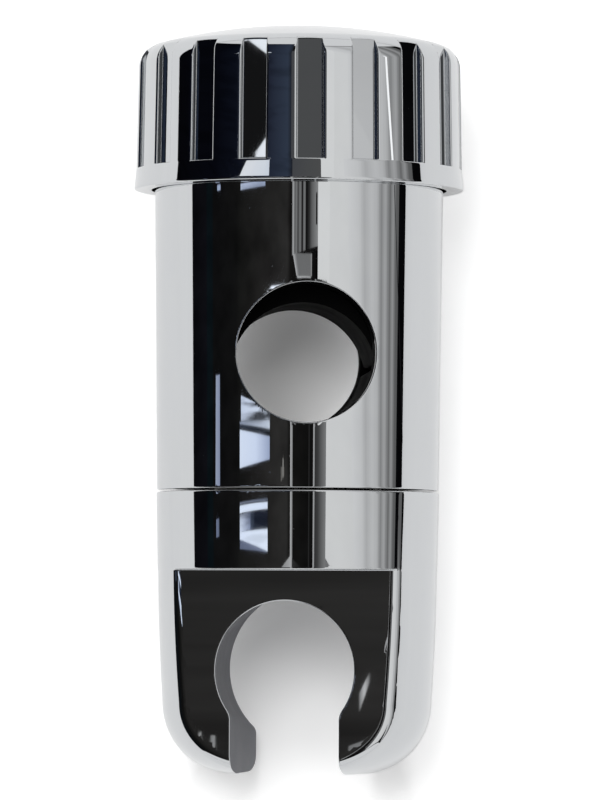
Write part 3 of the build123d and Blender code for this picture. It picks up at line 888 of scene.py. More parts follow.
@dataclass
class HolderShell:
    """Chromed holder: round top, flats front and back, and a tapered seat open at the hose slot."""

    swivel: float = -12.0
    top_y: float = -21.85
    top_radius: float = 22.89
    ledge_y: float = -34.45
    ledge_radius: float = 22.63
    waist_y: float = -47.70
    waist_radius: float = 22.26
    corner_y: float = -56.00
    corner_radius: float = 11.40
    end_radius: float = 10.40
    front_z: float = 13.80
    back_z: float = -14.00
    flat_edge: float = 2.40
    inner_edge: float = 0.50
    wall: float = 2.40
    socket_y: float = -50.60
    socket_front: float = 11.18
    socket_back: float = 13.20
    slot_half: float = 8.75
    socket_wall: float = 2.20
    plate_radius: float = 20.69
    plate_bottom: float = -25.05
    rim_edge: float = 0.30
    ledge_edge: float = 0.25
    top_edge: float = 0.30
    seat_reach: float = 0.03

    def side_radius(self, y: Array) -> tuple[Array, Array]:
        """Outer radius above the corner.

        Args:
            y: height.

        Returns:
            The radius, and its change with height.
        """
        fall = (self.top_radius - self.ledge_radius) / (self.top_y - self.ledge_y)
        upper = self.ledge_radius + (y - self.ledge_y) * fall
        first = (self.ledge_radius - self.waist_radius) / (self.ledge_y - self.waist_y)
        corner = self.end_radius + self.corner_radius
        second = (self.waist_radius - corner) / (self.waist_y - self.corner_y)
        bend = (first - second) / (self.ledge_y - self.corner_y)
        below = y - self.ledge_y
        lower = self.ledge_radius + first * below + bend * below * (y - self.waist_y)
        slope = first + bend * (2 * y - self.ledge_y - self.waist_y)
        above = y > self.ledge_y
        return np.where(above, upper, lower), np.where(above, fall, slope)

    def outer(self, x: Array, y: Array, z: Array, inset: float = 0.0) -> tuple[Array, Array]:
        """Field of the turned form.

        Args:
            x: across.
            y: along the slider.
            z: along the rail.
            inset: how far the form is moved inwards.

        Returns:
            The field, and the share of its slope that points away from the axis.
        """
        rho = np.hypot(x, z)
        radius, slope = self.side_radius(np.maximum(y, self.corner_y))
        lean = 1 / np.sqrt(1 + slope * slope)
        side = (rho - radius) * lean
        out = rho - self.end_radius
        down = self.corner_y - y
        length = np.hypot(np.maximum(out, 0), np.maximum(down, 0))
        corner = np.where(out > 0, length, down) - self.corner_radius
        below = down > 0
        share = np.where(below, np.maximum(out, 0) / np.clip(length, SMALL, None), lean)
        return np.where(below, corner, side) + inset, share

    def flat_faces(self, x: Array, y: Array, z: Array, inset: float, radius: float) -> Array:
        """The turned form cut by both flats, with rolled edges.

        Args:
            x: across.
            y: along the slider.
            z: along the rail.
            inset: how far the form is moved inwards.
            radius: radius of the edges.

        Returns:
            The field.
        """
        turned, share = self.outer(x, y, z, inset)
        rho = np.clip(np.hypot(x, z), SMALL, None)
        front = rolled_edge(turned, z - self.front_z + inset, radius, share * z / rho)
        back = rolled_edge(turned, self.back_z + inset - z, radius, -share * z / rho)
        return np.maximum(front, back)

    def socket(self, x: Array, y: Array, z: Array, grow: float = 0.0) -> Array:
        """Field of the cone that the handset sits in.

        Args:
            x: across.
            y: along the slider.
            z: along the rail.
            grow: how much wider than the seat.

        Returns:
            The field.
        """
        slope = (self.socket_front - self.socket_back) / (self.front_z - self.back_z)
        radius = self.socket_back + (z - self.back_z) * slope + grow
        return (np.hypot(x, y - self.socket_y) - radius) / math.sqrt(1 + slope * slope)

    def form(self, x: Array, y: Array, z: Array) -> Array:
        """Signed distance to the shell, before it is swivelled."""
        lower = self.flat_faces(x, y, z, 0.0, self.flat_edge)
        turned, _ = self.outer(x, y, z)
        upper = cut_together(turned, self.ledge_y - y, self.ledge_edge)
        solid = joined(lower, upper, self.ledge_edge)
        solid = cut_together(solid, y - self.top_y, self.top_edge)
        solid = np.maximum(solid, -self.cavity(x, y, z))
        slot = np.maximum(np.abs(x) - self.slot_half, y - self.socket_y)
        opening = joined(self.socket(x, y, z), slot, 2 * self.rim_edge)
        return cut_together(solid, -opening, self.rim_edge)

    def cavity(self, x: Array, y: Array, z: Array) -> Array:
        """Field of the space inside, round the socket's own wall, and of the plate's seat."""
        step_y = self.ledge_y + self.wall
        lower = self.flat_faces(x, y, z, self.wall, self.inner_edge)
        turned, _ = self.outer(x, y, z, self.wall)
        space = np.minimum(np.maximum(turned, step_y - y), lower)
        tube = self.socket(x, y, z, self.socket_wall)
        channel = np.maximum(np.abs(x) - self.socket_back - self.socket_wall, y - self.socket_y)
        space = np.maximum(space, -np.minimum(tube, channel))
        space = np.maximum(space, self.corner_y - self.wall - y)
        seat = np.maximum(np.hypot(x, z) - self.plate_radius, self.plate_bottom - y)
        return np.minimum(space, seat)

    def hidden(self, x: Array, y: Array, z: Array) -> Array:
        """Field that is below zero on the walls of the space inside."""
        return self.cavity(x, y, z) - self.socket_wall / 2

    def in_seat(self, points: Array) -> Array:
        """Tell which points lie on the walls of the seat and its slot.

        Args:
            points: points on the surface, before it is swivelled.

        Returns:
            True for each point on those walls.
        """
        x, y, z = points.T
        slot = np.maximum(np.abs(x) - self.slot_half, y - self.socket_y)
        return np.abs(joined(self.socket(x, y, z), slot, 2 * self.rim_edge)) < self.seat_reach

    def build(self, chrome: bpy.types.Material, seat: bpy.types.Material) -> None:
        """Make the shell in place of its node, swivelled as it was left.

        Args:
            chrome: the plated finish.
            seat: dull grey for the walls of the seat, painted shade in place of their chrome.
        """
        reach = self.top_radius
        end_y = self.corner_y - self.corner_radius
        low = (-reach, end_y, -reach)
        high = (reach, self.top_y, reach)
        skin = Skin(self.form, low, high, cell=0.6, finest=0.14, turn=5.5, hidden=self.hidden)
        points, faces, normals = skin.build()
        turn = np.array(Matrix.Rotation(math.radians(self.swivel), 3, "Y"))
        piece = make_piece("chromed_holder", points @ turn.T, faces, normals @ turn.T)
        place(piece, "holder", "holder_shell", chrome)
        piece.data.materials.append(seat)
        # Faces on the seat's walls take the dull grey: painted shade in the recess.
        walls = self.in_seat(points[faces].mean(axis=1))
        piece.data.polygons.foreach_set("material_index", walls.astype(np.int32))


@dataclass
class KnobShell:
    """Chromed cap: eighteen flutes that start square above the rim and run out through the shoulder."""

    rim_y: float = 27.20
    rim_radius: float = 26.80
    rim_edge: float = 0.30
    rim_blend: float = 1.3
    band: float = 3.40
    land_radius: float = 26.50
    draft: float = 1.05
    shoulder_y: float = 47.03
    shoulder_radius: float = 3.84
    dome_slope: float = 15.0
    wall: float = 2.50
    inner_rim: float = 23.97
    flutes: int = 18
    flute_depth: float = 1.20
    flute_floor: float = 3.95
    flute_edge: float = 0.60
    flute_slope: float = 6.0
    corner: float = 0.10
    crisp: float = 0.20
    boss_radius: float = 7.40
    boss_bore: float = 5.20
    boss_low: float = 42.20
    bead: float = 0.40
    bead_y: float = 33.85
    # Lines of points run up the cap: over a flute's floor, up its wall, round its edge, and over half
    # a land, which starts at the edge's end.
    floor_lines: tuple[float, ...] = (0.0, 0.6, 1.15, 1.55, 1.75, 1.87, 1.93)
    wall_levels: tuple[float, ...] = (0.07, 0.16, 0.32, 0.46)
    edge_angles: tuple[float, ...] = (12.0, 24.0, 35.0, 44.0, 51.0)
    edge_end: tuple[float, float] = (2.305, 1.0995)
    land_shares: tuple[float, ...] = (0.0, 0.035, 0.08, 0.16, 0.34, 0.6, 0.8, 1.0)
    # Rows of points run round it: heights on the band, then shares of a flute's foot, of the lands'
    # height, of the shoulder's turn and of the dome's radius.
    band_rows: tuple[float, ...] = (27.28, 27.36, 27.5, 27.75, 28.6, 29.6, 30.2, 30.42, 30.52)
    foot_shares: tuple[float, ...] = (0.04, 0.15, 0.35, 0.65, 0.85, 0.95)
    side_shares: tuple[float, ...] = (
        0.004, 0.012, 0.03, 0.08, 0.2, 0.35, 0.5, 0.65, 0.8, 0.9, 0.96, 0.985, 0.995
    )
    shoulder_shares: tuple[float, ...] = (0.012, 0.05, 0.12, 0.25, 0.42, 0.6, 0.8, 1.0)
    dome_shares: tuple[float, ...] = (0.97, 0.92, 0.85, 0.75, 0.62, 0.48, 0.34, 0.2, 0.08)
    # How far a row rises on the lands while it stays level in the flutes, at their foot and their top.
    foot_rise: float = 0.12
    top_rise: float = 0.07
    # How often the span is halved in which a flute's floor leaves the cap.
    halvings: int = 40
    # Rings of points inside: radii within the boss and outside it, angles round the inner shoulder, and
    # how near a ring lies to a sharp or a soft corner.
    boss_rings: tuple[float, ...] = (0.4, 2.5)
    dome_rings: tuple[float, ...] = (11.0, 15.0, 19.0)
    inner_angles: tuple[int, ...] = (75, 60, 45, 30, 15, 1)
    near: float = 0.05
    apart: float = 0.1
    start_y: float = field(init=False)
    fall: float = field(init=False)
    tilt: float = field(init=False)
    band_lean: float = field(init=False)
    wall_lean: float = field(init=False)
    shoulder_end: float = field(init=False)
    centre_r: float = field(init=False)
    dome_radius: float = field(init=False)
    dome_y: float = field(init=False)

    def __post_init__(self) -> None:
        """Work out what follows from the sizes."""
        self.start_y = self.rim_y + self.band
        self.fall = math.tan(math.radians(self.draft))
        self.tilt = math.cos(math.radians(self.draft))
        self.band_lean = (self.rim_radius - self.land_radius) / (self.band - self.rim_edge)
        self.wall_lean = math.tan(math.radians(self.flute_slope))
        self.shoulder_end = math.radians(90 - self.dome_slope)
        self.centre_r = float(self.land_at(self.shoulder_y)) - self.shoulder_radius
        across, up = math.cos(self.shoulder_end), math.sin(self.shoulder_end)
        self.dome_radius = (self.centre_r + self.shoulder_radius * across) / across
        self.dome_y = self.shoulder_y + self.shoulder_radius * up - self.dome_radius * up

    def land_at(self, y: Any) -> Any:
        """Radius of the lands at a height."""
        return self.land_radius - (y - self.start_y) * self.fall

    def floor_at(self, y: Any) -> Any:
        """Distance of the flutes' floors from the axis at a height."""
        return self.land_radius - self.flute_depth - (y - self.start_y) * self.fall

    def profile(self, rho: Array, y: Array) -> Array:
        """Field of the turned outline: band, lands, shoulder and dome."""
        lands = (rho - self.land_at(y)) * self.tilt
        lean = self.band_lean
        band = (rho - self.land_radius - (self.start_y - y) * lean) / math.sqrt(1 + lean * lean)
        side = np.where(y < self.start_y, band, lands)
        out = rho - self.centre_r
        up = y - self.shoulder_y
        angle = np.degrees(np.arctan2(up, out))
        shoulder = np.hypot(out, up) - self.shoulder_radius
        dome = np.hypot(rho, y - self.dome_y) - self.dome_radius
        top = np.where((angle > 90 - self.dome_slope) | (out < 0), dome, shoulder)
        return np.where((angle < self.draft) | (up < 0), side, top)

    def flute(self, x: Array, w: Array, y: Array) -> Array:
        """Field of one flute's cut, with x across it and w away from the axis."""
        height = (w - self.floor_at(y)) * self.tilt
        rise = self.flute_depth - self.flute_edge
        lean = self.wall_lean
        half = self.flute_floor / 2
        wall = (np.abs(x) - half - height * lean) * math.cos(math.radians(self.flute_slope))
        centre = half + rise * lean + self.flute_edge
        nose = self.flute_edge - np.hypot(np.minimum(np.abs(x) - centre, 0), height - rise)
        side = np.where(height > rise, nose, wall)
        cut = cut_together(-height, side, self.corner)
        return cut_together(cut, self.start_y - y, self.corner)

    def form(self, x: Array, y: Array, z: Array) -> Array:
        """Signed distance to the cap's outside."""
        rho = np.hypot(x, z)
        pitch = 2 * math.pi / self.flutes
        turn = np.arctan2(x, z)
        turn = turn - np.round(turn / pitch) * pitch
        solid = cut_together(self.profile(rho, y), self.rim_y - y, self.rim_blend * self.rim_edge)
        return cut_together(solid, -self.flute(rho * np.sin(turn), rho * np.cos(turn), y), self.crisp)

    def columns(self) -> tuple[Array, Array, Array]:
        """Lines of points that run up half a flute and half a land.

        Returns:
            Distance across, height over the flute's floor, and share of the land, a value each a line.
        """
        half = self.flute_floor / 2
        rise = self.flute_depth - self.flute_edge
        lean = self.wall_lean
        across = list(self.floor_lines)
        height = [0.0] * len(across)
        for level in (*self.wall_levels, rise):
            across.append(half + level * lean)
            height.append(level)
        for angle in self.edge_angles:
            bend = math.radians(angle)
            across.append(half + rise * lean + self.flute_edge * (1 - math.cos(bend)))
            height.append(rise + self.flute_edge * math.sin(bend))
        land = [0.0] * len(across) + list(self.land_shares)
        across += [self.edge_end[0]] * len(self.land_shares)
        height += [self.edge_end[1]] * len(self.land_shares)
        return np.array(across), np.array(height), np.array(land)

    @staticmethod
    def ring(rho: Any, angle: Array, y: Any) -> Array:
        """A row of points round the axis."""
        return np.stack([rho * np.sin(angle), y + 0 * angle, rho * np.cos(angle)], axis=1)

    def half_sector(self) -> Array:
        """Points of half a flute and half a land, from the rim up to the dome's middle.

        Returns:
            An array of rows, lines and coordinates.
        """
        across, height, land = self.columns()
        on_land = land > 0
        pitch = math.pi / self.flutes

        def turned(rho: Any) -> Array:
            """How far round each line stands where the outline has a radius."""
            edge = np.arcsin(across / rho)
            return edge + (pitch - edge) * land

        def outside(rho: Any, y: Any) -> Array:
            """A row of points on the turned outline."""
            return self.ring(rho, turned(rho), y)

        def inside(y: Any) -> Array:
            """A row of points on the flute's floor, wall and edge."""
            return np.stack([across, y + 0 * across, self.floor_at(y) + height / self.tilt], axis=1)

        rows = []
        for y in self.band_rows:
            rows.append(outside(self.land_radius + (self.start_y - y) * self.band_lean, y))
        first = outside(self.land_radius, self.start_y)
        foot = inside(self.start_y)
        for share in self.foot_shares:
            y = self.start_y + self.foot_rise * share
            row = first + (foot - first) * share
            rows.append(np.where(on_land[:, None], outside(self.land_at(y), y), row))
        low = np.full(len(across), self.shoulder_y)
        high = np.full(len(across), self.shoulder_y + self.shoulder_radius)
        for _ in range(self.halvings):
            middle = (low + high) / 2
            probe = inside(middle)
            out = self.profile(np.hypot(probe[:, 0], probe[:, 2]), middle) > 0
            low, high = np.where(out, low, middle), np.where(out, middle, high)
        leave = np.where(on_land, self.shoulder_y + self.top_rise, low)
        for share in self.side_shares:
            rise = self.foot_rise * on_land
            y = self.start_y + rise + (leave - self.start_y - rise) * share
            rows.append(np.where(on_land[:, None], outside(self.land_at(y), y), inside(y)))
        start = np.arcsin(np.clip((leave - self.shoulder_y) / self.shoulder_radius, 0, 1))
        top_edge = inside(leave)
        angle = turned(np.where(on_land, self.land_at(leave), np.hypot(top_edge[:, 0], top_edge[:, 2])))
        for share in self.shoulder_shares:
            bend = start + (self.shoulder_end - start) * share
            rho = self.centre_r + self.shoulder_radius * np.cos(bend)
            rows.append(self.ring(rho, angle, self.shoulder_y + self.shoulder_radius * np.sin(bend)))
        shoulder_r = self.centre_r + self.shoulder_radius * math.cos(self.shoulder_end)
        for share in self.dome_shares:
            rho = shoulder_r * share
            rows.append(self.ring(rho, angle, self.dome_y + math.sqrt(self.dome_radius**2 - rho**2)))
        return np.array(rows)

    def inner_outline(self) -> list[tuple[float, float]]:
        """Radius and height of the hollow, from its middle down to the rim's foot."""
        radius = self.dome_radius - self.wall

        def dome(rho: float) -> tuple[float, float]:
            """A point under the dome."""
            return rho, self.dome_y + math.sqrt(radius**2 - rho**2)

        outline = [dome(r) for r in (*self.boss_rings, self.boss_bore - self.apart)]
        outline += [(self.boss_bore, dome(self.boss_bore)[1] - self.apart), (self.boss_bore, self.boss_low)]
        outline.append((self.boss_radius, self.boss_low))
        outline.append((self.boss_radius, dome(self.boss_radius)[1] - self.apart))
        outline += [dome(r) for r in (self.boss_radius + self.apart, *self.dome_rings)]
        bend = self.shoulder_radius - self.wall
        for angle in self.inner_angles:
            a = math.radians(angle)
            outline.append((self.centre_r + bend * math.cos(a), self.shoulder_y + bend * math.sin(a)))
        top_r = self.centre_r + bend

        def skirt(y: float) -> float:
            """Radius of the inner wall at a height."""
            gain = (top_r - self.inner_rim) * (y - self.rim_y)
            return self.inner_rim + gain / (self.shoulder_y - self.rim_y)

        outline.append((skirt(self.bead_y + self.near), self.bead_y + self.near))
        outline.append((skirt(self.bead_y) - self.bead, self.bead_y))
        for y in (self.bead_y - 2 * self.bead, self.rim_y + 10 * self.near, self.rim_y + self.near):
            outline.append((skirt(y), y))
        for radius in (self.inner_rim + self.near, self.inner_rim + 8 * self.near):
            outline.append((radius, self.rim_y))
        for share in (3.0, 1.5):
            outline.append((self.rim_radius - share * self.rim_edge, self.rim_y))
        outline.append((self.rim_radius - self.rim_edge, self.rim_y + self.near / 5))
        return outline

    def build(self, chrome: bpy.types.Material) -> None:
        """Make the cap in place of its node.

        Args:
            chrome: the plated finish.
        """
        half = self.half_sector()
        mirror = half[:, :0:-1] * np.array([-1.0, 1.0, 1.0])
        sector = np.concatenate([mirror[:, 1:], half], axis=1)
        turns = [np.array(Matrix.Rotation(2 * math.pi * i / self.flutes, 3, "Y")) for i in range(self.flutes)]
        outer = np.concatenate([sector @ turn.T for turn in turns], axis=1)
        skin = Skin(self.form, (0, 0, 0), (0, 0, 0))
        lines = outer.shape[1]
        settled = skin.settle(outer.reshape(-1, 3), passes=8).reshape(outer.shape)
        on_band = settled[len(self.band_rows) // 2]
        angle = np.arctan2(on_band[:, 0], on_band[:, 2])
        inner = [self.ring(r, angle, y) for r, y in self.inner_outline()]
        rows = np.concatenate([np.array(inner), settled])
        count = len(rows)
        points = rows.reshape(-1, 3)
        index = np.arange(count * lines).reshape(count, lines)
        after = np.roll(index, -1, axis=1)
        quads = np.stack([index[:-1], after[:-1], after[1:], index[1:]], axis=-1).reshape(-1, 4)
        faces = np.concatenate([quads[:, [0, 1, 2]], quads[:, [0, 2, 3]]])
        inner_middle = np.array([0.0, self.dome_y + self.dome_radius - self.wall, 0.0])
        outer_middle = np.array([0.0, self.dome_y + self.dome_radius, 0.0])
        points = np.concatenate([points, [inner_middle, outer_middle]])
        low_fan = np.stack([after[0], index[0], np.full(lines, count * lines)], axis=1)
        high_fan = np.stack([index[-1], after[-1], np.full(lines, count * lines + 1)], axis=1)
        faces = np.concatenate([faces, low_fan, high_fan])
        normals = self.face_weighted(points, faces)
        outside = slice(len(inner) * lines, count * lines)
        normals[outside] = skin.normals(points[outside])
        piece = make_piece("chromed_knob", points, faces, normals)
        place(piece, "knob", "knob_shell", chrome)

    @staticmethod
    def face_weighted(points: Array, faces: Array) -> Array:
        """Point normals in which large faces count for more.

        Args:
            points: one row a point.
            faces: one row a triangle.

        Returns:
            One unit row a point.
        """
        a, b, c = (points[faces[:, i]] for i in range(3))
        cross = np.cross(b - a, c - a)
        total = np.zeros_like(points)
        for corner in range(3):
            np.add.at(total, faces[:, corner], cross)
        return total / np.clip(np.linalg.norm(total, axis=1), TINY, None)[:, None]


@dataclass
class InnerParts:
    """The pieces inside, which keep their CAD meshes and get their own finishes."""

    plastic: tuple[str, ...] = ("nut_housing", "knob_core", "pivot_plate")
    steel: tuple[str, ...] = (
        "housing_screws",
        "thrust_washer",
        "tip_clip",
        "clamp_screw",
        "plate_screws",
        "pivot_screw",
        "pivot_washer",
        "spring_washer",
    )
    brass: tuple[str, ...] = ("clamp_nut", "pivot_insert")
    acetal: tuple[str, ...] = ("friction_ring",)

    def dress(self, finishes: dict[Slot, bpy.types.Material]) -> None:
        """Give each node its finish.

        Args:
            finishes: a material for each slot.
        """
        groups = {
            Slot.BLACK_PLASTIC: self.plastic,
            Slot.STEEL: self.steel,
            Slot.BRASS: self.brass,
            Slot.ACETAL: self.acetal,
        }
        for slot, names in groups.items():
            for name in names:
                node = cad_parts[name]
                node.data.materials.clear()
                node.data.materials.append(finishes[slot])
                log.info("%s: dressed as %s", name, slot.value)


# How light changes over a panel: the pattern's turn, its repeats a metre along each axis, and the
# values of the pattern that are darkest and brightest.
Pattern = tuple[tuple[float, float, float], tuple[float, float, float], float, float]
STREAKS: Pattern = ((0.0, 0.0, 0.5), (5.0, 420.0, 5.0), 0.36, 0.52)
CLOUDS: Pattern = ((0.0, 0.0, 0.0), (7.0, 110.0, 7.0), 0.3, 0.7)
# Widest step between two lines of a panel, in degrees.
PANEL_STEP = 2.5


@dataclass(frozen=True)
class Card:
    """One panel round the slider that only its reflections show.

    Args:
        name: what it stands for.
        stops: angles in degrees, from straight up towards +X as the camera sees them, each with a colour.
        low_y: its end towards the holder, in millimetres.
        high_y: its end towards the knob.
        reach: its distance from the slider's axis.
        strength: its brightness, where 1 is white.
        low_rise: how much higher the low end is at the last stop.
        high_rise: how much higher the high end is at the last stop.
        lean: degrees that the first stop moves for each millimetre of height, while the last stays.
        slant: degrees that all stops move for each millimetre of height.
        level_y: the height at which the stops stand at their own angles.
        streaks: how dark the streaks across it are, from 0 to 1.
        clouds: how far its light wavers softly, from 0 to 1.
    """

    name: str
    stops: tuple[tuple[float, str], ...]
    low_y: float
    high_y: float
    reach: float = 530.0
    strength: float = 1.0
    low_rise: float = 0.0
    high_rise: float = 0.0
    lean: float = 0.0
    streaks: float = 0.0
    clouds: float = 0.02
    slant: float = 0.0
    level_y: float = 0.0

    def columns(self) -> list[tuple[float, float, float, Array]]:
        """Lines across the panel, close enough to curve.

        Returns:
            For each line the angle at its low end and at its high end, its share of the way and its colour.
        """
        first, last = self.stops[0][0], self.stops[-1][0]
        lines = []
        for (a, colour_a), (b, colour_b) in zip(self.stops, self.stops[1:]):
            steps = max(1, math.ceil((b - a) / PANEL_STEP))
            from_a, to_b = np.array(linear(colour_a)), np.array(linear(colour_b))
            for i in range(1 if lines else 0, steps + 1):
                angle = a + (b - a) * i / steps
                share = (angle - first) / (last - first)
                lean = self.lean * (1 - share) + self.slant
                low = angle + lean * (self.low_y - self.level_y)
                high = angle + lean * (self.high_y - self.level_y)
                lines.append((low, high, share, from_a + (to_b - from_a) * i / steps))
        return lines


